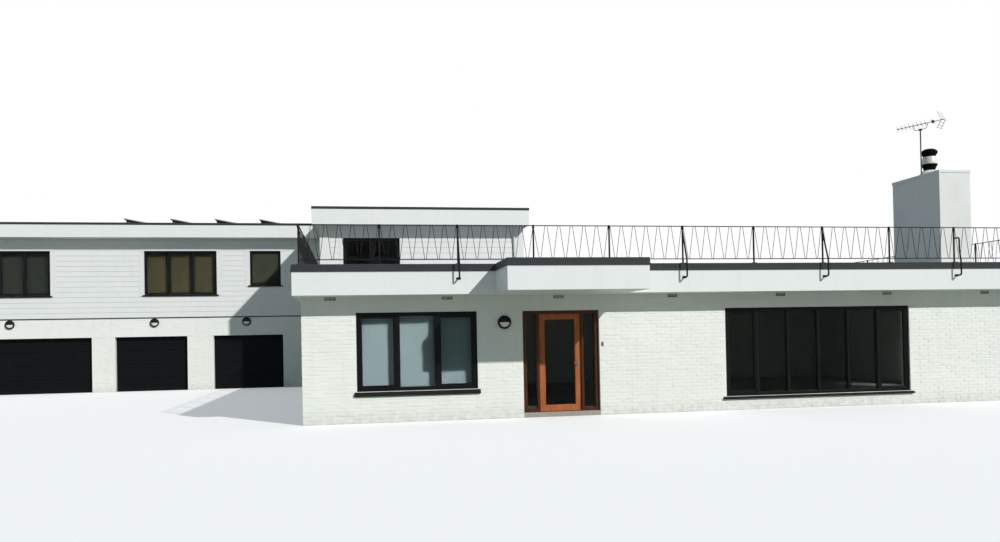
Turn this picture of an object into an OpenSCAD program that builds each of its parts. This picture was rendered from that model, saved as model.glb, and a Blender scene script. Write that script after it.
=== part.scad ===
// Detached house: a single-storey front block with a roof terrace, and a two-storey block with
// a garage wing behind it. Millimetres, Z up. In the house's own plan X runs to the right along
// the front wall from its left corner, Y runs back from the front wall's face, Z is up from the
// ground. Every sub-part is then moved so that the origin is under the middle of the plan.

/* [Front block] */
// Length of the front wall
front_len = 17200; // [16800:100:18000]
// Depth of the front block, front face to rear face
front_depth = 10400; // [10000:100:11000]
// Thickness of the outer walls
wall_t = 300; // [250:10:340]
// Height of the house floor and the door sill above the ground
floor_z = 100; // [60:5:140]
// Height of the underside of the terrace roof
soffit_z = 2530; // [2450:10:2650]
// Height of the white fascia boards round the terrace
fascia_h = 460; // [380:10:520]
// Height of the dark roof edge trim above the fascia
trim_h = 140; // [100:5:180]
// Width of the dark roof edge trim, seen from above
trim_w = 220; // [200:5:260]
// Overhang of the terrace roof in front of the wall
eaves_front = 500; // [400:10:600]
// Overhang of the terrace roof past the end walls and the rear wall
eaves_side = 140; // [120:5:180]

/* [Entrance canopy] */
// Left side of the canopy
canopy_x = 3812; // [3700:1:3900]
// Length of the canopy along the front
canopy_len = 2743; // [2400:1:2900]
// How far the canopy stands out from the front wall
canopy_out = 1776; // [1500:1:2000]

/* [Front openings] */
// Left side of the front window at the left
left_win_x = 1060; // [900:10:1200]
// Width of the front window at the left
left_win_w = 2430; // [2200:10:2600]
// Height of the front window at the left
left_win_h = 1577; // [1400:1:1640]
// Left side of the wide front window
wide_win_x = 8890; // [8600:10:9200]
// Width of the wide front window
wide_win_w = 4400; // [4000:10:4700]
// Height of the wide front window
wide_win_h = 1905; // [1700:5:1960]
// Height of both front windows' heads above the ground
front_head_z = 2205; // [2180:5:2240]
// Left side of the front door set
door_set_x = 4440; // [4400:5:4480]
// Width of the front door set with its side lights
door_set_w = 1630; // [1600:5:1680]
// Height of the front door set
door_set_h = 2100; // [2050:5:2130]
// Width of the front door's leaf
leaf_w = 880; // [820:5:900]

/* [Two-storey block] */
// Width of the block behind the terrace
rear_w = 6550; // [6000:50:7000]
// Distance from the front wall to the garage wall
wing_y = 14000; // [13800:50:14500]
// Length of the garage wing, to the left of the front block
wing_len = 13800; // [13700:50:14600]
// Depth of the garage wing
wing_depth = 6500; // [6000:50:7000]
// Height of the upper floor's surface
upper_floor_z = 2800; // [2760:10:2850]
// Height of the underside of the upper roof
upper_soffit_z = 5350; // [5250:10:5450]
// Height of the white fascia boards round the upper roof
upper_fascia_h = 430; // [380:10:480]
// How much lower the fascia over the terrace reaches
room_fascia_drop = 55; // [0:5:100]
// Height of the thin dark trim above the upper fascia
upper_trim_h = 80; // [60:5:100]
// Overhang of the upper roof at the front
upper_eaves = 500; // [400:10:600]
// Overhang of the upper roof at the wing's end and the rear
upper_eaves_side = 180; // [140:5:220]

/* [Garage doors] */
// Height of the garage doors
garage_h = 1910; // [1880:10:2100]
// Width of each of the two single garage doors
garage_w = 2400; // [2300:10:2500]
// Width of the double garage door
double_w = 4880; // [4700:10:4900]

/* [Terrace railing] */
// Height of the handrail above the trim
rail_h = 770; // [650:10:1100]
// Place of the post where the narrow bays of the front end
split_x = 4605; // [4500:5:4700]
// Number of narrow bays, at the left of the front
left_bays = 3; // [3:1:4]
// Number of wide bays, at the right of the front
right_bays = 8; // [7:1:9]
// Number of zigzags in a bay
zigzags = 6; // [5:1:7]
// Thickness of the zigzag rods
rod_t = 14; // [10:1:18]
// Thickness of the posts
post_t = 30; // [26:1:40]

/* [Chimney] */
// Left side of the chimney stack
stack_x = 15089; // [14900:1:15200]
// Width of the chimney stack
stack_w = 850; // [750:10:950]
// Depth of the chimney stack
stack_d = 1760; // [1500:10:1900]
// Height of the chimney stack's top above the ground
stack_top_z = 5540; // [5300:10:5700]
// Diameter of the cowl's collar and brim
cowl_d = 390; // [360:5:440]

/* [Solar panels] */
// Length of a panel from front to back
panel_len = 1650; // [1500:10:1700]
// Width of a panel, from its high side to its low side
panel_w = 980; // [900:10:1050]
// Height of a panel's high side above the roof
panel_high = 385; // [250:5:400]
// Height of a panel's low side above the roof
panel_low = 190; // [100:5:200]

/* [Hidden] */
$fn = 32;
// Length that a cutting shape runs past the face it cuts
past = 50;

// Levels
front_top_z = soffit_z + fascia_h;
trim_top_z = front_top_z + trim_h;
upper_top_z = upper_soffit_z + upper_fascia_h;
upper_trim_z = upper_top_z + upper_trim_h;
garage_floor_z = 50;

// Plan
board_t = 25;
upper_y = front_depth - wall_t;
back_y = wing_y + wing_depth;
canopy_x2 = canopy_x + canopy_len;
room_eaves_left = 240;
room_eaves_right = 130;
plan_left = -wing_len - upper_eaves_side;
plan_right = front_len + eaves_side;
trim_out = 10;
upper_trim_w = 150;
lip = 15;
lip_out = trim_out + lip;
plan_mid_x = (plan_left - trim_out + plan_right + lip_out) / 2;
plan_mid_y = (-canopy_out - lip_out + back_y + upper_eaves_side + trim_out) / 2;

// Openings: left, right, bottom and top of each hole in a wall
left_win_z = front_head_z - left_win_h;
wide_win_z = front_head_z - wide_win_h;
door_set_x2 = door_set_x + door_set_w;
door_head_z = floor_z + door_set_h;
left_hole = [left_win_x, left_win_x + left_win_w, left_win_z, front_head_z];
wide_hole = [wide_win_x, wide_win_x + wide_win_w, wide_win_z, front_head_z];
wing_head_z = 4928;
wing_sill_z = 3384;
small_sill_z = 3700;
back_sill_z = 900;
three_w = 2440;
one_w = 1070;
wing_holes = [for (x = [-11730, -6230]) [x, x + three_w, wing_sill_z, wing_head_z],
    [-2646, -2646 + one_w, small_sill_z, wing_head_z]];
garage_x = [-12860, -7220, -3930];
garage_ws = [double_w, garage_w, garage_w];
garage_holes = [for (i = [0:2]) [garage_x[i], garage_x[i] + garage_ws[i], 0, garage_h]];
terrace_door = [700, 2500, upper_floor_z + 190, wing_head_z];
rear_holes = [[9100, 9100 + three_w, back_sill_z, front_head_z],
    [12200, 12200 + one_w, back_sill_z, front_head_z]];
back_low_holes = [for (x = [-10800, -5600]) [x, x + three_w, back_sill_z, front_head_z]];
back_high_holes = [[-10800, -10800 + three_w, wing_sill_z, wing_head_z],
    [-4600, -4600 + one_w, wing_sill_z, wing_head_z], [3400, 3400 + three_w, wing_sill_z, wing_head_z]];
right_holes = [[1600, 1600 + three_w, back_sill_z, front_head_z]];

// Windows
frame_face = 60;
frame_depth = 90;
reveal = 30;
sash_face = 42;
sash_inset = 12;
glass_t = 24;
sill_slope = 12;

// Door set
jamb_face = 85;
post_face = 55;
head_face = 62;
threshold_h = 7;
rail_under_lights = 70;
frame_front_y = 60;
leaf_t = 52;
leaf_gap = 5;
leaf_x = door_set_x + 365;
leaf_y = 96;
leaf_back_y = leaf_y + leaf_t;
leaf_z = floor_z + threshold_h + leaf_gap;
leaf_h = door_head_z - head_face - leaf_gap - leaf_z;
stile = 105;
bottom_rail = 110;

// Door hinges: the pin stands clear of both faces, so its knuckles turn in the gap
pin_x = leaf_x - leaf_gap / 2;
pin_y = leaf_back_y + 10;
knuckle_d = 14;
knuckle_h = 34;
knuckle_gap = 1;
flap_t = 1.5;
flap_in = 30;
hinge_z = [250, 1010, 1770];

// Railing
rail_t = 18;
rail_inset = 50;
rail_front_y = -eaves_front + rail_inset + trim_out;
rail_left_x = -4;
rail_right_x = front_len + eaves_side - rail_inset;
rail_rear_y = front_depth + eaves_side - rail_inset;
rail_rear_x = rear_w + 60;
rail_wall_gap = 70;
low_rail_h = 92;
bend_top = 22;
bend_foot = 14;
finial_d = 48;
finial_h = 105;
finial_z = rail_h - 0.8 * finial_h;
side_bays = 6;
right_side_bays = 7;
rear_bays = 7;

// White paint, dark frames and so on
WHITE = [0.93, 0.94, 0.93];
CHARCOAL = [0.16, 0.17, 0.18];
BLACK = [0.05, 0.05, 0.055];
TIMBER = [0.42, 0.17, 0.09];
GLASS = [0.25, 0.32, 0.34, 0.5];

// Moves the house's plan so that the origin is under its middle
module placed() {
    translate([-plan_mid_x, -plan_mid_y, 0]) children();
}

// A box between two corners
module block(a, b) {
    translate(a) cube(b - a);
}

// A wall along X with rectangular holes [left, right, bottom, top]
module wall_x(x0, x1, y, z0, z1, holes = []) {
    difference() {
        block([x0, y, z0], [x1, y + wall_t, z1]);
        for (h = holes)
            block([h[0], y - past, h[2] - (h[2] == z0 ? past : 0)], [h[1], y + wall_t + past, h[3]]);
    }
}

// A wall along Y with rectangular holes
module wall_y(y0, y1, x, z0, z1, holes = []) {
    difference() {
        block([x, y0, z0], [x + wall_t, y1, z1]);
        for (h = holes) block([x - past, h[0], h[2]], [x + wall_t + past, h[1], h[3]]);
    }
}

// Lights of a window along X: the mullions part the width into equal lights
function light_x(w, n, i) = frame_face + i * (w - frame_face) / n;
function light_w(w, n) = (w - frame_face) / n - frame_face;

// A window frame in a hole, with n equal lights; the ones listed in sashes open and have a sash
module window_frame(w, h, n, sashes = []) {
    difference() {
        cube([w, frame_depth, h]);
        for (i = [0:n - 1])
            block([light_x(w, n, i), -past, frame_face],
                [light_x(w, n, i) + light_w(w, n), frame_depth + past, h - frame_face]);
    }
    for (i = sashes)
        translate([light_x(w, n, i), 0, frame_face]) sash(light_w(w, n), h - 2 * frame_face);
}

module sash(w, h) {
    difference() {
        block([0, sash_inset, 0], [w, frame_depth - sash_inset, h]);
        block([sash_face, -past, sash_face], [w - sash_face, frame_depth + past, h - sash_face]);
    }
}

// The panes of the same window, each filling its light or its sash
module window_glass(w, h, n, sashes = []) {
    for (i = [0:n - 1]) {
        edge = len([for (s = sashes) if (s == i) s]) > 0 ? sash_face : 0;
        block([light_x(w, n, i) + edge, (frame_depth - glass_t) / 2, frame_face + edge],
            [light_x(w, n, i) + light_w(w, n) - edge, (frame_depth + glass_t) / 2, h - frame_face - edge]);
    }
}

// Width and height of a hole
function hole_w(h) = h[1] - h[0];
function hole_h(h) = h[3] - h[2];

// Places a window along X in its hole, set back in the wall whose face is at y
module in_front_hole(hole, y) {
    translate([hole[0], y + reveal, hole[2]]) children();
}

// Places a window in a hole of a wall that faces +Y
module in_back_hole(hole, y) {
    translate([hole[1], y - reveal, hole[2]]) rotate([0, 0, 180]) children();
}

// A sill under a hole: h high, standing out of the wall's face at y = 0, with a weathered top
module sill(w, h, out, over) {
    translate([-over, 0, 0]) rotate([90, 0, 90]) linear_extrude(height = w + 2 * over)
        polygon([[0, -h], [-out + sill_slope, -h], [-out, -h + sill_slope],
            [-out, -2 * sill_slope], [0, 0]]);
}

// Outline of the terrace roof, grown by g on every free side
function front_outline(g) = [
    [-eaves_side - g, -eaves_front - g], [canopy_x - g, -eaves_front - g],
    [canopy_x - g, -canopy_out - g], [canopy_x2 + g, -canopy_out - g],
    [canopy_x2 + g, -eaves_front - g], [front_len + eaves_side + g, -eaves_front - g],
    [front_len + eaves_side + g, front_depth + eaves_side + g],
    [rear_w, front_depth + eaves_side + g], [rear_w, upper_y], [-eaves_side - g, upper_y]];

// Outline of the part of the upper roof that stands out over the terrace, back to y
function room_outline(g, y) = [
    [-room_eaves_left - g, y], [-room_eaves_left - g, upper_y - upper_eaves - g],
    [rear_w + room_eaves_right + g, upper_y - upper_eaves - g], [rear_w + room_eaves_right + g, y]];

// Outline of the upper roof, grown by g
function upper_outline(g) = concat([[plan_left - g, wing_y - upper_eaves - g]],
    [room_outline(g, wing_y - upper_eaves - g)[0]], [for (i = [1:2]) room_outline(g, 0)[i]],
    [[rear_w + room_eaves_right + g, back_y + upper_eaves_side + g],
    [plan_left - g, back_y + upper_eaves_side + g]]);

// A plate with a given outline
module plate(outline, z0, z1) {
    translate([0, 0, z0]) linear_extrude(height = z1 - z0) polygon(outline);
}

// Floors and walls
module ground_floor() {
    color("gainsboro") placed() {
        plate([[wall_t, wall_t], [door_set_x, wall_t], [door_set_x, 0], [door_set_x2, 0],
            [door_set_x2, wall_t], [front_len - wall_t, wall_t], [front_len - wall_t, upper_y],
            [rear_w - wall_t, upper_y], [rear_w - wall_t, back_y - wall_t], [wall_t, back_y - wall_t]],
            0, floor_z);
        plate([[wall_t - wing_len, wing_y + wall_t], [wall_t, wing_y + wall_t],
            [wall_t, back_y - wall_t], [wall_t - wing_len, back_y - wall_t]], 0, garage_floor_z);
    }
}

module front_wall_left() {
    color(WHITE) placed() wall_x(0, door_set_x, 0, 0, soffit_z, [left_hole]);
}

module front_wall_over_door() {
    color(WHITE) placed() wall_x(door_set_x, door_set_x2, 0, door_head_z, soffit_z);
}

module front_wall_right() {
    color(WHITE) placed() wall_x(door_set_x2, front_len, 0, 0, soffit_z, [wide_hole]);
}

module left_wall() {
    color(WHITE) placed() wall_y(wall_t, wing_y, 0, 0, soffit_z);
}

module right_wall() {
    color(WHITE) placed() wall_y(wall_t, front_depth, front_len - wall_t, 0, soffit_z, right_holes);
}

module rear_wall() {
    color(WHITE) placed() wall_x(rear_w, front_len - wall_t, upper_y, 0, soffit_z, rear_holes);
}

module rear_side_wall() {
    color(WHITE) placed() difference() {
        wall_y(upper_y, back_y - wall_t, rear_w - wall_t, 0, upper_soffit_z);
        block([rear_w - wall_t - past, upper_y - past, soffit_z],
            [rear_w + past, upper_y + wall_t, upper_soffit_z + past]);
    }
}

module back_wall() {
    color(WHITE) placed()
        wall_x(-wing_len, rear_w, back_y - wall_t, 0, upper_soffit_z,
            concat(back_low_holes, back_high_holes));
}

module wing_end_wall() {
    color(WHITE) placed() wall_y(wing_y + wall_t, back_y - wall_t, -wing_len, 0, upper_soffit_z);
}

module garage_front_wall() {
    color(WHITE) placed() wall_x(-wing_len, wall_t, wing_y, 0, soffit_z, garage_holes);
}

module wing_upper_wall() {
    color(WHITE) placed() wall_x(-wing_len, 0, wing_y, soffit_z, upper_soffit_z, wing_holes);
}

module terrace_room_wall() {
    color(WHITE) placed() union() {
        wall_x(0, rear_w, upper_y, soffit_z, upper_soffit_z, [terrace_door]);
        wall_y(upper_y, wing_y + wall_t, 0, soffit_z, upper_soffit_z);
    }
}

module first_floor() {
    color("burlywood") placed() plate([[wall_t - wing_len, wing_y + wall_t], [wall_t, wing_y + wall_t],
        [wall_t, front_depth], [rear_w - wall_t, front_depth], [rear_w - wall_t, back_y - wall_t],
        [wall_t - wing_len, back_y - wall_t]], soffit_z, upper_floor_z);
}

// Roofs and their edges
module front_roof() {
    color("lightgray") placed() plate(front_outline(-board_t), soffit_z, front_top_z);
}

module front_fascia() {
    color(WHITE) placed() difference() {
        plate(front_outline(0), soffit_z, front_top_z);
        plate(front_outline(-board_t), soffit_z - past, front_top_z + past);
    }
}

// The trim goes round the canopy, and a kerb of the same section carries the railing across it
module front_roof_trim() {
    color(CHARCOAL) placed() {
        difference() {
            union() {
                plate(front_outline(trim_out), front_top_z, trim_top_z);
                plate(front_outline(lip_out), front_top_z, front_top_z + 2 * lip);
            }
            plate(front_outline(-trim_w), front_top_z - past, trim_top_z + past);
        }
        block([canopy_x, -eaves_front - trim_out, front_top_z],
            [canopy_x2, -eaves_front + trim_w, trim_top_z]);
    }
}

module upper_roof() {
    color("lightgray") placed() plate(upper_outline(-board_t), upper_soffit_z, upper_top_z);
}

module upper_fascia() {
    drop_y = wing_y - upper_eaves;
    color(WHITE) placed() {
        difference() {
            plate(upper_outline(0), upper_soffit_z, upper_top_z);
            plate(upper_outline(-board_t), upper_soffit_z - past, upper_top_z + past);
        }
        difference() {
            plate(room_outline(0, drop_y), upper_soffit_z - room_fascia_drop, upper_soffit_z);
            plate(room_outline(-board_t, drop_y + past), upper_soffit_z - room_fascia_drop - past,
                upper_soffit_z + past);
        }
    }
}

module upper_roof_trim() {
    color(CHARCOAL) placed() difference() {
        plate(upper_outline(trim_out), upper_top_z, upper_trim_z);
        plate(upper_outline(-upper_trim_w), upper_top_z - past, upper_trim_z + past);
    }
}

// Small pieces on the front wall
air_brick = [215, 8, 65];
air_brick_x = [455, 2780, 5105, 7595, 10080, 12650, 15120];
module air_bricks() {
    color("dimgray") placed() for (x = air_brick_x)
        translate([x, -air_brick[1], soffit_z - 80]) difference() {
            cube(air_brick);
            for (k = [0:2]) translate([15, -1, 10 + k * 18]) cube([air_brick[0] - 30, 5, 9]);
        }
}

module left_window_frame() {
    color(BLACK) placed() in_front_hole(left_hole, 0) window_frame(left_win_w, left_win_h, 3, [0, 2]);
}

module wide_window_frame() {
    color(BLACK) placed() in_front_hole(wide_hole, 0) window_frame(wide_win_w, wide_win_h, 6, [0, 5]);
}

module front_window_glass() {
    color(GLASS) placed() {
        in_front_hole(left_hole, 0) window_glass(left_win_w, left_win_h, 3, [0, 2]);
        in_front_hole(wide_hole, 0) window_glass(wide_win_w, wide_win_h, 6, [0, 5]);
        side_light(door_set_x + jamb_face, leaf_x - leaf_gap - post_face);
        side_light(leaf_x + leaf_w + leaf_gap + post_face, door_set_x2 - jamb_face);
    }
}

module side_light(x0, x1) {
    y = leaf_y + (leaf_t - glass_t) / 2;
    block([x0, y, floor_z + rail_under_lights], [x1, y + glass_t, door_head_z - head_face]);
}

module front_sills() {
    color(CHARCOAL) placed() {
        translate([left_win_x, 0, left_win_z - 5]) sill(left_win_w, 90, 55, 50);
        translate([wide_win_x, 0, wide_win_z - 5]) sill(wide_win_w, 55, 60, 75);
    }
}

// Front door set
module door_frame() {
    color(TIMBER) placed() {
        difference() {
            block([door_set_x, frame_front_y, floor_z], [door_set_x2, leaf_back_y, door_head_z]);
            frame_light(door_set_x + jamb_face, leaf_x - leaf_gap - post_face, rail_under_lights);
            frame_light(leaf_x - leaf_gap, leaf_x + leaf_w + leaf_gap, threshold_h);
            frame_light(leaf_x + leaf_w + leaf_gap + post_face, door_set_x2 - jamb_face, rail_under_lights);
        }
        for (z = hinge_z) translate([0, 0, floor_z + z]) {
            knuckle(pin_x - leaf_gap / 2, knuckle_h + knuckle_gap);
            knuckle(pin_x - leaf_gap / 2, -knuckle_h - knuckle_gap);
        }
    }
}

module frame_light(x0, x1, z) {
    block([x0, frame_front_y - past, floor_z + z], [x1, leaf_back_y + past, door_head_z - head_face]);
}

// A hinge knuckle on the pin, with its flap on the door or the frame from x
module knuckle(x, z) {
    translate([pin_x, pin_y, z - knuckle_h / 2]) cylinder(h = knuckle_h, d = knuckle_d);
    translate([x, leaf_back_y - flap_in, z - knuckle_h / 2]) cube([flap_t, flap_in + 10, knuckle_h]);
}

module front_door() {
    color(TIMBER) placed() {
        translate([leaf_x, leaf_y, leaf_z]) difference() {
            cube([leaf_w, leaf_t, leaf_h]);
            block([stile, -past, bottom_rail], [leaf_w - stile, leaf_t + past, leaf_h - stile]);
        }
        for (z = hinge_z) translate([0, 0, floor_z + z]) knuckle(leaf_x - flap_t, 0);
    }
}

module front_door_glass() {
    color(GLASS) placed() translate([leaf_x, leaf_y, leaf_z])
        block([stile, (leaf_t - glass_t) / 2, bottom_rail],
            [leaf_w - stile, (leaf_t + glass_t) / 2, leaf_h - stile]);
}

module door_handle() {
    color("silver") placed() translate([leaf_x + leaf_w - stile / 2, leaf_y, floor_z + 1000]) {
        lever();
        translate([0, leaf_t, 0]) mirror([0, 1, 0]) lever();
    }
}

// Back plate, spindle and lever, on a door face at y = 0
lever_d = 18;
lever_out = 50;
lever_len = 115;
module lever() {
    union() {
        block([-16, -8, -70], [16, 0, 70]);
        rotate([90, 0, 0]) cylinder(h = lever_out, d = lever_d);
        translate([0, -lever_out, 0]) rotate([0, -90, 0]) cylinder(h = lever_len, d = lever_d);
        translate([0, -lever_out, 0]) sphere(d = lever_d);
    }
}

module wall_lamps() {
    color(BLACK) placed() {
        translate([4058, 0, 1972]) bulkhead(277);
        for (x = [-10585, -5903, -2788]) translate([x, wing_y, 2400]) bulkhead(300);
    }
}

// A round bulkhead lamp: a rim round a domed lens, with a hood over the lens's upper half
module bulkhead(d) {
    rotate([90, 0, 0]) union() {
        rotate_extrude() polygon([[0, 0], [d / 2, 0], [d / 2, 0.16 * d], [0.44 * d, 0.24 * d],
            [0.36 * d, 0.24 * d], [0.36 * d, 0.18 * d], [0.2 * d, 0.23 * d], [0, 0.25 * d]]);
        intersection() {
            cylinder(h = 0.27 * d, d = 0.76 * d);
            translate([-d / 2, 0, 0]) cube([d, d / 2, d]);
        }
    }
}

module doorbell() {
    color("dimgray") placed() translate([6138, 0, 1487]) union() {
        block([-20, -18, -45], [20, 0, 45]);
        rotate([90, 0, 0]) cylinder(h = 24, d = 18);
    }
}

// Terrace railing: zigzag rods bent round at the top and sharper at the foot, along X from x = 0.
// t is the mitre of a bend, so both edges of the rod stay parallel.
function clip(x, n, pitch) = max(0, min(n * pitch, x));
function zig_edge(n, pitch, zt, zb, side) = [for (i = [0:n])
    for (p = concat([[i * pitch - bend_top - side * mitre(pitch, zt, zb), zt + side * rod_t / 2],
        [i * pitch + bend_top + side * mitre(pitch, zt, zb), zt + side * rod_t / 2]],
        i < n ? [[(i + 0.5) * pitch - bend_foot + side * mitre(pitch, zt, zb), zb + side * rod_t / 2],
        [(i + 0.5) * pitch + bend_foot - side * mitre(pitch, zt, zb), zb + side * rod_t / 2]] : []))
    [clip(p[0], n, pitch), p[1]]];
function mitre(pitch, zt, zb) =
    rod_t / 2 * tan(atan2(zt - zb, pitch / 2 - bend_top - bend_foot) / 2);
function reversed(points) = [for (i = [len(points) - 1:-1:0]) points[i]];

module zigzag(n, pitch, zt, zb) {
    translate([0, rod_t / 2, 0]) rotate([90, 0, 0]) linear_extrude(height = rod_t)
        polygon(concat(zig_edge(n, pitch, zt, zb, 1), reversed(zig_edge(n, pitch, zt, zb, -1))));
}

module post() {
    union() {
        block([-post_t / 2, -post_t / 2, 0], [post_t / 2, post_t / 2, finial_z + 10]);
        block([-50, -45, 0], [50, 45, 10]);
        finial();
    }
}

// The long knob on a post, with the handrail through its upper half
module finial() {
    translate([0, 0, finial_z]) rotate_extrude()
        polygon([for (a = [0:20:180]) [finial_d / 2 * sin(a), finial_h / 2 * (1 - cos(a))]]);
}

module railing_run(length, bays, first, last) {
    pitch = length / (bays * zigzags);
    union() {
        zigzag(bays * zigzags, pitch, rail_h, low_rail_h);
        for (z = [low_rail_h, rail_h])
            block([0, -rail_t / 2, z - rail_t / 2], [length, rail_t / 2, z + rail_t / 2]);
        for (i = [first:last]) translate([i * length / bays, 0, 0]) post();
    }
}

module front_railing() {
    color(BLACK) placed() translate([rail_left_x, rail_front_y, trim_top_z]) union() {
        railing_run(split_x - rail_left_x, left_bays, 0, left_bays);
        translate([split_x - rail_left_x, 0, 0])
            railing_run(rail_right_x - split_x, right_bays, 1, right_bays);
    }
}

// The side railings butt against the front's corner posts, and the right one against the rear's
module side_railings() {
    y0 = rail_front_y + post_t / 2;
    color(BLACK) placed() difference() {
        union() {
            translate([rail_left_x, y0, trim_top_z]) rotate([0, 0, 90])
                railing_run(upper_y - rail_wall_gap - y0, side_bays, 1, side_bays);
            translate([rail_right_x, y0, trim_top_z]) rotate([0, 0, 90])
                railing_run(rail_rear_y - post_t / 2 - y0, right_side_bays, 1, right_side_bays - 1);
        }
        for (p = [[rail_left_x, rail_front_y], [rail_right_x, rail_front_y], [rail_right_x, rail_rear_y]])
            translate([p[0], p[1], trim_top_z]) finial();
    }
}

module rear_railing() {
    color(BLACK) placed() translate([rail_rear_x, rail_rear_y, trim_top_z])
        railing_run(rail_right_x - rail_rear_x, rear_bays, 0, rear_bays);
}

// Stays: round bars from a post over the trim, with a foot turned back to a plate on the fascia.
// Three lean straight down from under the post's knob, and one has a hooked top.
stay_d = 25;
stay_bead = 1;
stay_y = -eaves_front - 150;
stay_foot_z = 2840;
stay_plate = [90, 8, 45];
stay_bolt_x = 30;
hook_y = -eaves_front - 105;
stay_foot = [[stay_y, stay_foot_z + 40], [stay_y + 12, stay_foot_z + 12],
    [stay_y + 40, stay_foot_z], [-eaves_front - stay_plate[1], stay_foot_z]];
leaning_stay = concat([[rail_front_y - post_t / 2, 3790], [stay_y, 3200]], stay_foot);
hooked_stay = concat([[rail_front_y - post_t / 2, 3660], [hook_y + 40, 3660], [hook_y + 12, 3648],
    [hook_y, 3620], [hook_y, 3400], [stay_y, 3120]], stay_foot);
leaning_posts = [2, 5, 7];
hooked_post = 9;

function front_post_x(i) = i <= left_bays
    ? rail_left_x + i * (split_x - rail_left_x) / left_bays
    : split_x + (i - left_bays) * (rail_right_x - split_x) / right_bays;

// A round bar through points [y, z], with a hammered bead on each bend
module bar(points) {
    for (i = [0:len(points) - 2]) {
        d = points[i + 1] - points[i];
        translate([0, points[i][0], points[i][1]]) {
            if (i > 0) sphere(d = stay_d + 2 * stay_bead);
            rotate([atan2(-d[0], d[1]), 0, 0]) cylinder(h = norm(d), d = stay_d);
        }
    }
}

module stay(points) {
    union() {
        difference() {
            bar(points);
            translate([-past, rail_front_y - post_t / 2, trim_top_z]) cube([2 * past, past, rail_h]);
        }
        translate([-stay_plate[0] / 2, -eaves_front - stay_plate[1], stay_foot_z - stay_plate[2] / 2])
            cube(stay_plate);
        for (x = [-stay_bolt_x, stay_bolt_x]) translate([x, -eaves_front, stay_foot_z])
            rotate([90, 0, 0]) cylinder(h = stay_plate[1] + 10, d = 18);
    }
}

module railing_stays() {
    color(BLACK) placed() {
        for (i = leaning_posts) translate([front_post_x(i), 0, 0]) stay(leaning_stay);
        translate([front_post_x(hooked_post), 0, 0]) stay(hooked_stay);
    }
}

// Chimney and what stands on it
stack_y = 1200;
cap_out = 12;
cap_h = 70;
module chimney_stack() {
    color(WHITE) placed() union() {
        block([stack_x, stack_y, front_top_z], [stack_x + stack_w, stack_y + stack_d, stack_top_z]);
        block([stack_x - cap_out, stack_y - cap_out, stack_top_z - cap_h],
            [stack_x + stack_w + cap_out, stack_y + stack_d + cap_out, stack_top_z]);
    }
}

// The cowl, closed on top: a foot that flares to a collar, a barrel-shaped band, and a head with a
// brim. Each point is the share of the collar's radius, and the height above the stack.
cowl_profile = [[0, 0], [0.68, 0], [0.76, 110], [0.98, 245], [0.98, 290], [0.85, 292], [0.88, 390],
    [0.8, 500], [0.76, 502], [0.76, 565], [1, 600], [1, 640], [0.9, 655], [0.62, 700], [0, 700]];
module chimney_cowl() {
    color(BLACK) placed() translate([stack_x + stack_w / 2, stack_y + stack_d / 2, stack_top_z])
        rotate_extrude() polygon([for (p = cowl_profile) [p[0] * cowl_d / 2, p[1]]]);
}

// The aerial: a mast with a cradle under the boom, crossed directors, a dipole and a reflector
mast_x = stack_x + 131;
mast_y = stack_y + 800;
mast_h = 1180;
boom_yaw = -65;
boom_up = 130;
boom_half = 600;
directors = 8;
director_len = 200;
dipole_at = 440;
dipole_len = 300;
wing_lean = 28;
wing_len_up = 230;
wing_rods = 4;
module tv_aerial() {
    color("gray") placed() translate([mast_x, mast_y, stack_top_z]) union() {
        cylinder(h = mast_h, d = 32);
        translate([0, 0, mast_h]) rotate([0, 0, boom_yaw]) {
            translate([-boom_half, 0, boom_up]) rotate([0, 90, 0]) cylinder(h = 2 * boom_half, d = 20);
            cradle();
            for (i = [0:directors - 1]) translate([-boom_half + 20 + i * 115, 0, boom_up])
                for (a = [-45, 45]) rotate([a, 0, 0]) cylinder(h = director_len, d = 8, center = true);
            translate([dipole_at, 0, boom_up]) dipole();
            for (a = [-wing_lean, 180 + wing_lean])
                translate([boom_half - 20, 0, boom_up]) rotate([0, a, 0]) reflector_wing();
        }
    }
}

// The bar on the mast's top, with an arm up to the boom at each end
module cradle() {
    cradle_half = 190;
    rotate([0, 90, 0]) cylinder(h = 2 * cradle_half, d = 14, center = true);
    for (x = [-cradle_half, cradle_half]) translate([x, 0, -10]) cylinder(h = boom_up + 12, d = 16);
}

// A folded dipole: two long rods joined at their ends
module dipole() {
    for (z = [-30, 30]) translate([0, dipole_len / 2, z]) rotate([90, 0, 0])
        cylinder(h = dipole_len, d = 10);
    for (y = [-dipole_len / 2 + 10, dipole_len / 2 - 10]) translate([0, y, -33]) cylinder(h = 66, d = 12);
    translate([0, 0, -33]) cylinder(h = 66, d = 14);
}

// One wing of the reflector: two arms with rods across them
module reflector_wing() {
    for (y = [-90, 90]) translate([0, y, 0]) cylinder(h = wing_len_up, d = 10);
    rod_gap = (wing_len_up - 24) / (wing_rods - 1);
    for (k = [0:wing_rods - 1]) translate([0, dipole_len / 2, 12 + k * rod_gap])
        rotate([90, 0, 0]) cylinder(h = dipole_len, d = 8);
}

// Windows of the two-storey block and of the unseen sides
wing_sill_h = 53;
wing_sill_out = 70;
module wing_window_frames() {
    color(BLACK) placed() {
        for (h = wing_holes) {
            in_front_hole(h, wing_y) window_frame(hole_w(h), hole_h(h), hole_w(h) > 2000 ? 3 : 1);
            translate([h[0], wing_y, h[2]]) sill(hole_w(h), wing_sill_h, wing_sill_out, 60);
        }
        in_front_hole(terrace_door, upper_y)
            window_frame(hole_w(terrace_door), hole_h(terrace_door), 2, [0, 1]);
    }
}

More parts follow.
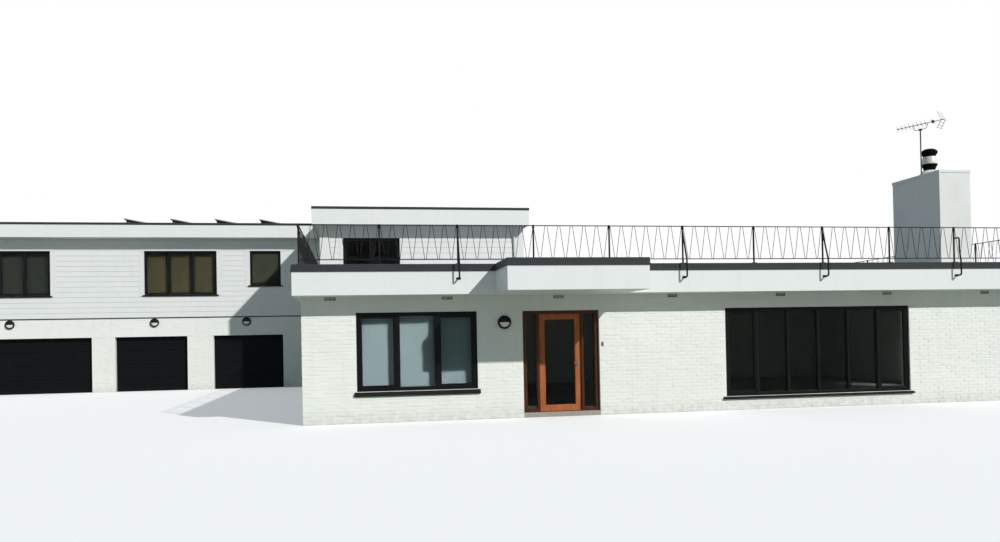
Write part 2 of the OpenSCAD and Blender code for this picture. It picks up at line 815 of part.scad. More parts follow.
module wing_window_glass() {
    color(GLASS) placed() {
        for (h = wing_holes)
            in_front_hole(h, wing_y) window_glass(hole_w(h), hole_h(h), hole_w(h) > 2000 ? 3 : 1);
        in_front_hole(terrace_door, upper_y)
            window_glass(hole_w(terrace_door), hole_h(terrace_door), 2, [0, 1]);
    }
}

// Frames, or the glass in them, for every window that the front doesn't show
module rear_windows(glass) {
    for (h = concat(back_low_holes, back_high_holes)) in_back_hole(h, back_y) rear_window(h, glass);
    for (h = rear_holes) in_back_hole(h, front_depth) rear_window(h, glass);
    for (h = right_holes)
        translate([front_len - reveal, h[0], h[2]]) rotate([0, 0, 90]) rear_window(h, glass);
}

module rear_window(h, glass) {
    n = hole_w(h) > 2000 ? 3 : 1;
    if (glass) window_glass(hole_w(h), hole_h(h), n);
    else window_frame(hole_w(h), hole_h(h), n);
}

module rear_window_frames() {
    color(BLACK) placed() rear_windows(false);
}

module rear_window_glass() {
    color(GLASS) placed() rear_windows(true);
}

// Blinds let down inside the three-light windows, one for each light, from a rail under the head
blind_gap = 90;
blind_t = 3;
blind_over = 15;
blind_rail = 44;
blind_hem = [12, 26];
blind_up = 35;
module window_blinds() {
    color("silver") placed() {
        in_front_hole(left_hole, 0) blinds(left_hole);
        for (i = [0:1]) in_front_hole(wing_holes[i], wing_y) blinds(wing_holes[i]);
    }
}

module blinds(hole) {
    w = hole_w(hole);
    h = hole_h(hole);
    for (i = [0:2]) translate([light_x(w, 3, i) - blind_over, frame_depth + blind_gap, 0]) union() {
        blind_w = light_w(w, 3) + 2 * blind_over;
        block([0, -blind_rail / 2, h - blind_rail], [blind_w, blind_rail / 2, h]);
        block([0, -blind_t / 2, blind_up], [blind_w, blind_t / 2, h - blind_rail / 2]);
        block([0, -blind_hem[0] / 2, blind_up], [blind_w, blind_hem[0] / 2, blind_up + blind_hem[1]]);
    }
}

// Garage doors: closed panels of horizontal sections, in the inner half of the wall
garage_panel_y = wing_y + 180;
garage_panel_t = 60;
sections = 4;
section_gap = 8;
section_groove = 12;
module garage_doors() {
    color(BLACK) placed() for (i = [0:2]) difference() {
        block([garage_x[i], garage_panel_y, 0],
            [garage_x[i] + garage_ws[i], garage_panel_y + garage_panel_t, garage_h]);
        for (k = [1:sections - 1])
            block([garage_x[i] - past, garage_panel_y - past, k * garage_h / sections - section_gap],
                [garage_x[i] + garage_ws[i] + past, garage_panel_y + section_groove,
                    k * garage_h / sections]);
    }
}

// Four solar panels on the wing's roof, tilted down towards the right, each on two braced frames
panel_x = [-7036, -5460, -3922, -2355];
panel_t = 40;
bracket_t = 40;
module solar_panels() {
    color(BLACK) placed() for (x = panel_x) translate([x, wing_y + 600, upper_top_z]) union() {
        along_y(0, panel_len) polygon([[0, panel_high - panel_t], [panel_w, panel_low - panel_t],
            [panel_w, panel_low], [0, panel_high]]);
        for (y = [200, panel_len - 200 - bracket_t]) along_y(y, bracket_t) difference() {
            polygon([[30, 0], [panel_w - 30, 0], [panel_w - 30, panel_low - panel_t / 2],
                [30, panel_high - panel_t / 2]]);
            polygon([[80, 50], [panel_w - 80, 50], [panel_w - 80, panel_low - panel_t - 50],
                [80, panel_high - panel_t - 70]]);
        }
    }
}

// Extrudes an outline in X and Z along Y, from y over a length
module along_y(y, length) {
    translate([0, y + length, 0]) rotate([90, 0, 0]) linear_extrude(height = length) children();
}

// The rainwater pipe of the upper roof, with its clips on the wall, down to the terrace
pipe_d = 70;
pipe_x = 6260;
pipe_wall_gap = 20;
clip_z = [3500, 4300, 5100];
module downpipes() {
    pipe_y = upper_y - pipe_wall_gap - pipe_d / 2;
    color("lightgray") placed() union() {
        translate([pipe_x, pipe_y, front_top_z]) cylinder(h = upper_soffit_z - front_top_z, d = pipe_d);
        for (z = clip_z) {
            translate([pipe_x, pipe_y, z]) cylinder(h = 25, d = pipe_d + 14);
            block([pipe_x - 18, pipe_y, z], [pipe_x + 18, upper_y, z + 25]);
        }
    }
}

ground_floor();
front_wall_left();
front_wall_over_door();
front_wall_right();
left_wall();
right_wall();
rear_wall();
rear_side_wall();
back_wall();
wing_end_wall();
garage_front_wall();
wing_upper_wall();
terrace_room_wall();
first_floor();
front_roof();
front_fascia();
front_roof_trim();
air_bricks();
left_window_frame();
wide_window_frame();
front_window_glass();
front_sills();
door_frame();
front_door();
front_door_glass();
door_handle();
wall_lamps();
doorbell();
front_railing();
side_railings();
rear_railing();
railing_stays();
chimney_stack();
chimney_cowl();
tv_aerial();
upper_roof();
upper_fascia();
upper_roof_trim();
wing_window_frames();
wing_window_glass();
rear_window_frames();
rear_window_glass();
window_blinds();
garage_doors();
solar_panels();
downpipes();
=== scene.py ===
"""Detached house with a roof terrace: surfaces, small parts, light and camera round its CAD frame.

All sizes are in metres. The house's own plan has X along the front wall from its left corner, Y
back from that wall's face and Z up from the ground. ORIGIN carries it into the frame's axes.
"""
from __future__ import annotations

import logging
import math
from dataclasses import dataclass, field, replace
from enum import Enum

import bmesh
import bpy
import numpy as np
from mathutils import Matrix, Vector


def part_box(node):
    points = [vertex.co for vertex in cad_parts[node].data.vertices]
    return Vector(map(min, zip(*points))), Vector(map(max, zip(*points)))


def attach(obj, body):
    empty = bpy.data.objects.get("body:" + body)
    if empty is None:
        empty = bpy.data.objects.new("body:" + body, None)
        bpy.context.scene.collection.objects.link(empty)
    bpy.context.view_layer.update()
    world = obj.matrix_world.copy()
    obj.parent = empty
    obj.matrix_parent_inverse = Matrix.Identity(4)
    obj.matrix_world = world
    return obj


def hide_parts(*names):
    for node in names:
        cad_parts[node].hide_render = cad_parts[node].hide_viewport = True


LOG = logging.getLogger("house")
Array = np.ndarray
Socket = bpy.types.NodeSocket
Triple = tuple[float, float, float]
Rect = tuple[float, float, float, float]
SEED = 41

# ---- the plan, as the CAD part has it

FRONT_LEN, FRONT_DEPTH = 17.2, 10.4
WING_LEFT, WING_Y, BACK_Y, ROOM_RIGHT, ROOM_Y = -13.8, 14.0, 20.5, 6.55, 10.1
SOFFIT_Z, ROOF_Z, TRIM_Z, UPPER_SOFFIT_Z, UPPER_ROOF_Z = 2.53, 2.99, 3.13, 5.35, 5.78
SILL_Z, HEAD_Z, UPPER_SILL_Z, UPPER_HEAD_Z = 0.9, 2.205, 3.384, 4.928
DOOR: Rect = (4.44, 6.07, 0.0, 2.2)
GARAGE_DOORS, GARAGE_DOOR_H = ((-12.86, -7.98), (-7.22, -4.82), (-3.93, -1.53)), 1.91
BOARDS_Z, BOARD_PITCH = 2.592, 0.1804
STACK, STACK_Z = (15.089, 15.939, 1.2, 2.96), 5.54
ACROSS, OUT, INWARD, UP, DOWN = (1, 0, 0), (0, -1, 0), (0, 1, 0), (0, 0, 1), (0, 0, -1)
BODY, LEAF = "house", "front_door_leaf"

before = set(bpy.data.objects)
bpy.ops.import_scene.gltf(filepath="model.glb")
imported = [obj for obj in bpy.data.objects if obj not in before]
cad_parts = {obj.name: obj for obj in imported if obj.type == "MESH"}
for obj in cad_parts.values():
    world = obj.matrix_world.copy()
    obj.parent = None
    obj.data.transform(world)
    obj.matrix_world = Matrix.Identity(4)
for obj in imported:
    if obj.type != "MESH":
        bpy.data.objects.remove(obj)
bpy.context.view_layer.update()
ORIGIN = np.array(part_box("front_wall_left")[0])


@dataclass(frozen=True)
class Facing:
    """A flat face: a corner of it, the direction u along it, w out of it, and its length."""

    corner: Triple
    along: Triple
    out: Triple
    length: float = 0.0

    def place(self, uvw: Array) -> Array:
        """Carries points (u along, v = w x u up, w out) on to the face."""
        u, w = (np.array(way, float) / np.linalg.norm(way) for way in (self.along, self.out))
        return np.array(self.corner) + uvw @ np.array([u, np.cross(w, u), w])

    def moved(self, w: float) -> Facing:
        """The same face, w further out."""
        out = np.array(self.out, float) / np.linalg.norm(self.out)
        return replace(self, corner=tuple(np.array(self.corner) + w * out))

    def span(self, a: float, b: float) -> tuple[float, float]:
        """The two ends, along the face, of what the plan has between its coordinates a and b."""
        axis = 0 if self.along[0] else 1
        return tuple(sorted((end - self.corner[axis]) * self.along[axis] for end in (a, b)))


def level(z: float, out: Triple = UP) -> Facing:
    """A level face at height z, with u along the front wall."""
    return Facing((0, 0, z), ACROSS, out)


class Wall(Enum):
    """The faces of the house that carry bricks or boards, each seen from outside."""

    FRONT = Facing((0, 0, 0), ACROSS, OUT, FRONT_LEN)
    LEFT = Facing((0, WING_Y, 0), OUT, (-1, 0, 0), WING_Y)
    RIGHT = Facing((FRONT_LEN, 0, 0), INWARD, ACROSS, FRONT_DEPTH)
    REAR = Facing((FRONT_LEN, FRONT_DEPTH, 0), (-1, 0, 0), INWARD, FRONT_LEN - ROOM_RIGHT)
    REAR_SIDE = Facing((ROOM_RIGHT, ROOM_Y, 0), INWARD, ACROSS, BACK_Y - ROOM_Y)
    BACK = Facing((ROOM_RIGHT, BACK_Y, 0), (-1, 0, 0), INWARD, ROOM_RIGHT - WING_LEFT)
    WING_END = Facing((WING_LEFT, BACK_Y, 0), OUT, (-1, 0, 0), BACK_Y - WING_Y)
    GARAGE = Facing((WING_LEFT, WING_Y, 0), ACROSS, OUT, -WING_LEFT)
    ROOM_FRONT = Facing((0, ROOM_Y, 0), ACROSS, OUT, ROOM_RIGHT)


# ---- finishes


def srgb(red: int, green: int, blue: int) -> tuple[float, float, float, float]:
    """A screen colour, 0 to 255 a channel, as linear light with alpha 1."""
    linear = [c / 12.92 if c <= 0.04045 else ((c + 0.055) / 1.055) ** 2.4
              for c in (red / 255, green / 255, blue / 255)]
    return (*linear, 1.0)


class Tree:
    """Short hand for a node tree: it adds nodes and joins their sockets."""

    def __init__(self, tree: bpy.types.NodeTree) -> None:
        """Takes a node tree and empties it."""
        self.tree = tree
        tree.nodes.clear()

    def add(self, kind: str, inputs: dict | None = None, **settings: object) -> bpy.types.Node:
        """Adds a node.

        Args:
            kind: the node's type name.
            inputs: input socket name or index to a value, or to the output socket that feeds it.
            settings: properties of the node.

        Returns:
            The new node.
        """
        node = self.tree.nodes.new(kind)
        for key, value in settings.items():
            setattr(node, key, value)
        for key, value in (inputs or {}).items():
            if isinstance(value, Socket):
                self.tree.links.new(value, node.inputs[key])
            else:
                node.inputs[key].default_value = value
        return node

    def noise(self, vector: Socket, scale: object, detail: float = 3.0,
              rough: float = 0.5) -> Socket:
        """Adds a noise pattern and returns its grey value."""
        return self.add("ShaderNodeTexNoise", {"Vector": vector, "Scale": scale, "Detail": detail,
                                               "Roughness": rough}).outputs["Fac"]

    def stretched(self, vector: Socket, scale: Triple) -> Socket:
        """Stretches the place that a pattern is read at."""
        return self.add("ShaderNodeMapping", {"Vector": vector, "Scale": scale}).outputs[0]

    def maths(self, operation: str, a: object, b: object, clamp: bool = True) -> Socket:
        """Adds a sum, product or the like of two values, kept between 0 and 1 if clamped."""
        return self.add("ShaderNodeMath", {0: a, 1: b}, operation=operation,
                        use_clamp=clamp).outputs[0]

    def ramp(self, value: Socket, low: object, high: object, to_low: object = 0.0,
             to_high: object = 1.0) -> Socket:
        """Carries values from low..high to to_low..to_high, kept inside."""
        return self.add("ShaderNodeMapRange", {"Value": value, "From Min": low, "From Max": high,
                                               "To Min": to_low, "To Max": to_high}).outputs[0]

    def mix(self, factor: object, a: object, b: object) -> Socket:
        """Mixes two colours."""
        return self.add("ShaderNodeMix", {0: factor, 6: a, 7: b}, data_type="RGBA").outputs[2]


def make_group(name: str, inputs: dict[str, object]) -> Tree:
    """Starts a shader node group with named inputs, and outputs for colour, roughness and height.

    Args:
        name: the group's name.
        inputs: socket name to its default: None for a vector, a tuple for a colour, else a number.

    Returns:
        The tree, with .start and .end nodes for the group's input and output.
    """
    group = bpy.data.node_groups.new(name, "ShaderNodeTree")
    for key, value in inputs.items():
        kind = "Vector" if value is None else "Color" if isinstance(value, tuple) else "Float"
        socket = group.interface.new_socket(name=key, in_out="INPUT",
                                            socket_type=f"NodeSocket{kind}")
        if value is not None:
            socket.default_value = value
    for key, kind in (("Color", "Color"), ("Roughness", "Float"), ("Height", "Float")):
        group.interface.new_socket(name=key, in_out="OUTPUT", socket_type=f"NodeSocket{kind}")
    tree = Tree(group)
    tree.start, tree.end = tree.add("NodeGroupInput"), tree.add("NodeGroupOutput")
    return tree


def close_group(t: Tree, colour: Socket, rough: Socket, height: Socket) -> bpy.types.NodeTree:
    """Joins a group's three outputs and returns the group."""
    for name, socket in (("Color", colour), ("Roughness", rough), ("Height", height)):
        t.tree.links.new(socket, t.end.inputs[name])
    return t.tree


def weathering_group() -> bpy.types.NodeTree:
    """Makes weathered paint, render or felt: mottling, rain streaks, splashes low down and grain.

    Returns:
        The group.
    """
    t = make_group("weathered coat", {
        "Vector": None, "Colour": (1, 1, 1, 1), "Tint": (1, 1, 1, 1), "Tint amount": 0.5,
        "Grime": (0.3, 0.3, 0.25, 1), "Grime amount": 0.3, "Splash height": 0.3,
        "Mottle scale": 1.0, "Grain scale": 60.0, "Rough low": 0.5, "Rough high": 0.7})
    i = t.start.outputs
    mottle = t.noise(i["Vector"], i["Mottle scale"], 5.0, 0.6)
    streak = t.ramp(t.noise(t.stretched(i["Vector"], (1, 1, 0.09)), 7.0, 4.0, 0.6), 0.52, 0.78)
    height = t.add("ShaderNodeSeparateXYZ", {"Vector": i["Vector"]}).outputs["Z"]
    splash = t.maths("MULTIPLY", t.ramp(height, 0.0, i["Splash height"], 1.0, 0.0),
                     t.ramp(t.noise(i["Vector"], 9.0, 4.0), 0.3, 0.7))
    grime = t.maths("MULTIPLY", t.maths("ADD", t.maths("MULTIPLY", streak, 0.22), splash),
                    i["Grime amount"])
    tinted = t.mix(t.maths("MULTIPLY", t.ramp(mottle, 0.3, 0.7), i["Tint amount"]), i["Colour"],
                   i["Tint"])
    coarse = t.noise(i["Vector"], t.maths("MULTIPLY", i["Grain scale"], 0.17, clamp=False), 2.0)
    fine = t.noise(i["Vector"], i["Grain scale"], 4.0, 0.65)
    return close_group(
        t, t.mix(grime, tinted, i["Grime"]),
        t.ramp(mottle, 0.25, 0.75, i["Rough low"], i["Rough high"]),
        t.maths("ADD", t.maths("MULTIPLY", coarse, 0.4), t.maths("MULTIPLY", fine, 0.6)))


def grain_group() -> bpy.types.NodeTree:
    """Makes wood grain: long streaks along one axis, with pores and a slow change of tone.

    Returns:
        The group.
    """
    t = make_group("wood grain", {"Vector": None, "Light": (1, 1, 1, 1), "Dark": (0, 0, 0, 1),
                                  "Grain scale": 1.0})
    i = t.start.outputs
    streak = t.noise(t.stretched(i["Vector"], (46, 46, 2.2)), i["Grain scale"], 6.0, 0.62)
    pore = t.ramp(t.noise(t.stretched(i["Vector"], (420, 420, 14)), i["Grain scale"], 2.0),
                  0.56, 0.7)
    slow = t.noise(i["Vector"], 2.3, 2.0)
    tone = t.maths("ADD", t.ramp(streak, 0.32, 0.7, 0.0, 0.75), t.ramp(slow, 0.3, 0.7, 0.0, 0.25))
    half = t.maths("MULTIPLY", pore, 0.5)
    return close_group(t, t.mix(half, t.mix(tone, i["Light"], i["Dark"]), i["Dark"]),
                       t.ramp(streak, 0.3, 0.7, 0.34, 0.5), t.maths("SUBTRACT", streak, half))


def weave_group() -> bpy.types.NodeTree:
    """Makes plain woven cloth: threads along the cloth's own u and v, with slubs.

    Returns:
        The group.
    """
    t = make_group("blind weave", {"Vector": None, "Colour": (1, 1, 1, 1), "Shade": (0, 0, 0, 1),
                                   "Threads": 220.0})
    i = t.start.outputs
    bands = [t.add("ShaderNodeTexWave", {"Vector": i["Vector"], "Scale": i["Threads"],
                                         "Distortion": 0.4, "Detail": 1.0},
                   bands_direction=axis).outputs["Fac"] for axis in ("X", "Y")]
    woven = t.maths("MULTIPLY", bands[0], bands[1])
    slub = t.noise(t.stretched(i["Vector"], (30, 3, 1)), 6.0, 3.0)
    shade = t.maths("ADD", t.maths("MULTIPLY", woven, 0.25), t.ramp(slub, 0.4, 0.7, 0.0, 0.5))
    return close_group(t, t.mix(shade, i["Colour"], i["Shade"]),
                       t.ramp(woven, 0.0, 1.0, 0.75, 0.92), woven)


GROUP_MAKERS = {"weathered coat": weathering_group, "wood grain": grain_group,
                "blind weave": weave_group}


def finish_material(name: str, group: str, values: dict[str, object], uniform: dict[str, object],
                    bump: tuple[float, float], uv: bool = False) -> bpy.types.Material:
    """Makes a material from one shared group and the shader's own values.

    Args:
        name: the material's name.
        group: the shared group's name.
        values: the group's inputs.
        uniform: inputs of the shader that are the same all over the surface.
        bump: the bump's strength, and its depth in metres.
        uv: whether the pattern follows the piece's own UV map instead of its place.

    Returns:
        The material.
    """
    material = bpy.data.materials.new(name)
    material.use_nodes = True
    t = Tree(material.node_tree)
    where = t.add("ShaderNodeTexCoord").outputs["UV" if uv else "Object"]
    tree = bpy.data.node_groups.get(group) or GROUP_MAKERS[group]()
    node = t.add("ShaderNodeGroup", node_tree=tree)
    t.tree.links.new(where, node.inputs["Vector"])
    for key, value in values.items():
        node.inputs[key].default_value = value
    bumped = t.add("ShaderNodeBump", {"Height": node.outputs["Height"], "Strength": bump[0],
                                      "Distance": bump[1]})
    shader = t.add("ShaderNodeBsdfPrincipled", {
        "Base Color": node.outputs["Color"], "Roughness": node.outputs["Roughness"],
        "Normal": bumped.outputs[0], **uniform})
    t.add("ShaderNodeOutputMaterial", {"Surface": shader.outputs[0]})
    return material


@dataclass(frozen=True)
class Coat:
    """Paint, render, felt, plastic or coated metal, and how it has weathered."""

    slot: str
    colour: Triple
    tint: Triple
    tint_amount: float = 0.5
    grime: Triple = (96, 98, 84)
    grime_amount: float = 0.25
    splash: float = 0.25
    mottle: float = 1.1
    grain: float = 90.0
    rough: tuple[float, float] = (0.55, 0.75)
    metallic: float = 0.0
    coat: float = 0.0
    bump: tuple[float, float] = (0.25, 0.0008)
    gloss: float = 0.5

    def build(self, name: str) -> bpy.types.Material:
        """Makes the material.

        Args:
            name: the material's name.

        Returns:
            The material.
        """
        values = {"Colour": srgb(*self.colour), "Tint": srgb(*self.tint),
                  "Tint amount": self.tint_amount, "Grime": srgb(*self.grime),
                  "Grime amount": self.grime_amount, "Splash height": self.splash,
                  "Mottle scale": self.mottle, "Grain scale": self.grain,
                  "Rough low": self.rough[0], "Rough high": self.rough[1]}
        return finish_material(name, "weathered coat", values,
                               {"Metallic": self.metallic, "Coat Weight": self.coat,
                                "Specular IOR Level": self.gloss}, self.bump)


@dataclass(frozen=True)
class Wood:
    """Oiled timber with its grain upright."""

    slot: str
    light: Triple
    dark: Triple
    gloss: float = 0.16

    def build(self, name: str) -> bpy.types.Material:
        """Makes the material."""
        return finish_material(name, "wood grain", {"Light": srgb(*self.light),
                                                    "Dark": srgb(*self.dark)},
                               {"Specular IOR Level": self.gloss}, (0.3, 0.0006))


@dataclass(frozen=True)
class Cloth:
    """Woven blind cloth."""

    slot: str
    colour: Triple
    shade: Triple

    def build(self, name: str) -> bpy.types.Material:
        """Makes the material."""
        return finish_material(name, "blind weave", {"Colour": srgb(*self.colour),
                                                     "Shade": srgb(*self.shade)},
                               {"Sheen Weight": 0.2}, (0.3, 0.0004), uv=True)


@dataclass(frozen=True)
class Pane:
    """Window glass. Sunlight passes it, so that what hangs behind it is lit."""

    slot: str
    colour: Triple
    shade_passed: float = 0.9
    ior: float = 1.1

    def build(self, name: str) -> bpy.types.Material:
        """Makes the material.

        Args:
            name: the material's name.

        Returns:
            The material.
        """
        material = bpy.data.materials.new(name)
        material.use_nodes = True
        t = Tree(material.node_tree)
        where = t.add("ShaderNodeTexCoord").outputs["Object"]
        smear = t.ramp(t.noise(where, 3.0, 4.0), 0.35, 0.75, 0.0, 0.02)
        shadow = t.add("ShaderNodeLightPath").outputs["Is Shadow Ray"]
        alpha = t.ramp(shadow, 0.0, 1.0, 1.0, 1.0 - self.shade_passed)
        waves = t.add("ShaderNodeBump", {"Height": t.noise(where, 1.4, 1.0), "Strength": 0.05,
                                         "Distance": 0.002})
        shader = t.add("ShaderNodeBsdfPrincipled", {
            "Base Color": srgb(*self.colour), "Roughness": smear, "IOR": self.ior, "Alpha": alpha,
            "Transmission Weight": 1.0, "Normal": waves.outputs[0]})
        t.add("ShaderNodeOutputMaterial", {"Surface": shader.outputs[0]})
        return material


class Finish(Enum):
    """Every finish on the house."""

    BRICK = Coat("painted_brick", (243, 245, 240), (233, 237, 232), 0.55, grime_amount=0.3,
                 splash=0.3, grain=55.0, rough=(0.6, 0.8), bump=(0.5, 0.0016))
    BOARDS = Coat("white_boards", (232, 234, 233), (224, 227, 226), 0.6, grime_amount=0.22,
                  splash=0.01, grain=70.0, rough=(0.42, 0.6))
    FASCIA = Coat("white_fascia", (238, 240, 239), (228, 231, 230), 0.5, grime_amount=0.2,
                  splash=0.01, grain=80.0, rough=(0.35, 0.5))
    RENDER = Coat("white_render", (238, 239, 236), (226, 227, 223), 0.6, grime_amount=0.28,
                  splash=0.01, grain=120.0, rough=(0.7, 0.85), bump=(0.6, 0.002))
    SLAB = Coat("floor_slab", (170, 164, 156), (150, 145, 138))
    UPPER_FLOOR = Coat("upper_floor", (168, 150, 128), (148, 130, 108))
    FELT = Coat("roof_surface", (150, 152, 152), (128, 131, 132), 0.8, (92, 96, 84), 0.5, 0.01,
                0.7, 140.0, (0.8, 0.95), bump=(0.7, 0.002))
    TRIM = Coat("dark_trim", (50, 53, 57), (62, 65, 69), 0.6, (96, 100, 96), 0.2, 0.01, 1.6,
                70.0, (0.5, 0.7), gloss=0.15)
    # Painted shade: the trim darkened further for the flashing under the boards, to stand for the
    # shadow gap there.
    LIP = Coat("dark_trim", (30, 32, 35), (44, 46, 50), 0.5, splash=0.01)
    FRAME = Coat("dark_frame", (13, 14, 16), (22, 23, 25), 0.4, (70, 72, 68), 0.08, 0.05, 2.0,
                 160.0, (0.4, 0.55), bump=(0.12, 0.0004), gloss=0.08)
    SILL = Coat("sill", (27, 31, 25), (40, 45, 36), 0.6, grime_amount=0.15, gloss=0.08)
    TIMBER = Wood("door_timber", (204, 122, 68), (136, 70, 34))
    # Painted shade: the door timber darkened for the frame, side-light beads and outer casings,
    # which the canopy shades; the leaf keeps the lit timber.
    DARK_TIMBER = Wood("door_timber", (84, 44, 25), (50, 27, 16))
    STEEL = Coat("door_metal", (128, 126, 122), (104, 102, 98), 0.4, grime_amount=0.05, splash=0.01,
                 mottle=14.0, grain=260.0, rough=(0.2, 0.34), metallic=1.0, bump=(0.08, 0.0002))
    LAMP = Coat("lamp", (14, 14, 15), (26, 26, 27), 0.4, splash=0.01, rough=(0.35, 0.5), gloss=0.12)
    LENS = Coat("lamp", (236, 236, 230), (222, 222, 214), 0.4, splash=0.01, rough=(0.18, 0.3),
                coat=0.4, bump=(0.1, 0.0004))
    VENT = Coat("vent", (128, 134, 118), (112, 118, 102), 0.5, splash=0.01, gloss=0.2)
    BELL = Coat("bell", (104, 105, 107), (84, 85, 88), 0.4, splash=0.01, rough=(0.25, 0.35))
    IRON = Coat("railing", (20, 20, 22), (38, 38, 40), 0.45, (88, 66, 50), 0.14, 0.01, 6.0, 210.0,
                (0.45, 0.6), bump=(0.35, 0.0005), gloss=0.1)
    COWL = Coat("cowl", (11, 11, 12), (24, 22, 22), 0.6, (64, 58, 54), 0.12, 0.01, 5.0, 160.0,
                (0.5, 0.66), gloss=0.015)
    BAND = Coat("cowl", (232, 227, 216), (206, 200, 190), 0.6, (150, 130, 110), 0.2, 0.01, 6.0,
                200.0, (0.35, 0.5), bump=(0.1, 0.0003))
    AERIAL = Coat("aerial", (186, 190, 196), (150, 153, 158), 0.6, (90, 92, 94), 0.3, 0.01, 8.0,
                  260.0, (0.3, 0.5), metallic=0.9, bump=(0.12, 0.0002))
    # Dark plastic and paint, and painted shade on the reflector's lower half.
    AERIAL_DARK = Coat("aerial", (58, 60, 66), (84, 86, 90), 0.5, splash=0.01, metallic=0.5)
    GARAGE = Coat("garage_panel", (13, 15, 18), (20, 23, 26), 0.5, (66, 68, 66), 0.12, 0.2, 1.6,
                  120.0, (0.5, 0.68), gloss=0.06)
    CELLS = Coat("solar_panel", (16, 20, 34), (28, 34, 52), 0.6, (110, 110, 100), 0.12, 0.01,
                 9.0, 220.0, (0.08, 0.16), coat=0.5, bump=(0.04, 0.0002))
    CELL_FRAME = Coat("solar_panel", (176, 179, 182), (150, 153, 156), 0.4, splash=0.01,
                      rough=(0.3, 0.45), metallic=0.9)
    CELL_BACK = Coat("solar_panel", (40, 42, 46), (60, 62, 66), 0.5, splash=0.01)
    PIPE = Coat("pipe", (214, 216, 216), (196, 199, 199), 0.5, grime_amount=0.2, splash=0.01,
                rough=(0.35, 0.5))
    GLASS = Pane("window_glass", (208, 220, 216))
    GREY_CLOTH = Cloth("blind_fabric", (166, 174, 184), (148, 156, 166))
    BROWN_CLOTH = Cloth("blind_fabric", (68, 54, 22), (54, 43, 17))
    DARK_CLOTH = Cloth("blind_fabric", (22, 24, 16), (16, 18, 12))
    FILM = Coat("window_glass", (62, 63, 50), (52, 53, 42), 0.7, splash=0.01, mottle=4.0,
                rough=(0.5, 0.7), gloss=0.1)

    @property
    def material(self) -> bpy.types.Material:
        """The finish's material, made on first use."""
        name = f"{self.name.lower()} finish"
        return bpy.data.materials.get(name) or self.value.build(name)


# ---- making meshes

BOX_QUADS = np.array([[0, 3, 2, 1], [4, 5, 6, 7], [0, 1, 5, 4], [1, 2, 6, 5], [2, 3, 7, 6],
                      [3, 0, 4, 7]])
RING_QUADS = np.array([quad for i, j in ((0, 1), (1, 2), (2, 3), (3, 0)) for quad in (
    (i, j, 4 + j, 4 + i), (8 + j, 8 + i, 12 + i, 12 + j), (8 + i, 8 + j, j, i),
    (4 + i, 4 + j, 12 + j, 12 + i))])
GROW = np.array([-1.0, 1.0, -1.0, 1.0])


def cut_out(rects: Array, hole: Rect, least: float = 0.012) -> Array:
    """Takes a rectangle out of many: each one hit becomes up to four parts beside the hole.

    Args:
        rects: rows [u0, u1, v0, v1, ...]; further columns are carried along.
        hole: u0, u1, v0, v1 of what comes out.
        least: parts narrower than this are dropped.

    Returns:
        The rows that are left.
    """
    hit = (rects[:, 1] > hole[0]) & (rects[:, 0] < hole[1]) & (rects[:, 3] > hole[2]) \
        & (rects[:, 2] < hole[3])
    parts = [rects[~hit]]
    for column, limit in ((1, hole[0]), (0, hole[1]), (3, hole[2]), (2, hole[3])):
        part = rects[hit].copy()
        if column > 1:
            part[:, :2] = np.clip(part[:, :2], *hole[:2])
        shorten = np.minimum if column in (1, 3) else np.maximum
        part[:, column] = shorten(part[:, column], limit)
        parts.append(part)
    rows = np.concatenate(parts)
    return rows[(rows[:, 1] - rows[:, 0] > least) & (rows[:, 3] - rows[:, 2] > least)]


def rounded(path: Array, reach: float, steps: int = 4) -> Array:
    """Rounds a path's corners: each becomes a curve that leaves the path `reach` before the corner.

    The curve is (1-s)^2 a + 2 s (1-s) c + s^2 b, from a before the corner c to b after it.

    Args:
        path: corners, one row each.
        reach: how far from the corner the curve starts, at most 0.45 of the shorter side.
        steps: pieces in each curve.

    Returns:
        The points of the new path.
    """
    path = np.asarray(path, float)
    step = np.diff(path, axis=0)
    size = np.linalg.norm(step, axis=1, keepdims=True)
    unit = step / size
    cut = np.minimum(reach, 0.45 * np.minimum(size[:-1], size[1:]))
    before, corner, after = path[1:-1] - cut * unit[:-1], path[1:-1], path[1:-1] + cut * unit[1:]
    s = np.linspace(0, 1, steps + 1)[None, :, None]
    curve = (1 - s) ** 2 * before[:, None] + 2 * s * (1 - s) * corner[:, None] \
        + s ** 2 * after[:, None]
    return np.concatenate([path[:1], curve.reshape(-1, path.shape[1]), path[-1:]])


def circle(radius: float, sides: int) -> Array:
    """Section of a round bar: radius times (cos, sin) of equal steps."""
    turn = np.arange(sides) * 2 * math.pi / sides
    return radius * np.stack([np.cos(turn), np.sin(turn)], 1)


def bar_section(width: float, height: float, chamfer: float) -> Array:
    """Section of a flat bar: a rectangle whose corners are cut by the chamfer."""
    x, y = width / 2, height / 2
    return np.array([(x, -y + chamfer), (x, y - chamfer), (x - chamfer, y), (-x + chamfer, y),
                     (-x, y - chamfer), (-x, -y + chamfer), (-x + chamfer, -y), (x - chamfer, -y)])


def tube_quads(rings: int, sides: int) -> Array:
    """Faces of a tube: quads from each ring of points to the next, all the way round."""
    i, j = np.meshgrid(np.arange(rings - 1) * sides, np.arange(sides), indexing="ij")
    after = (j + 1) % sides
    return np.stack([i + j, i + after, i + sides + after, i + sides + j], -1).reshape(-1, 4)


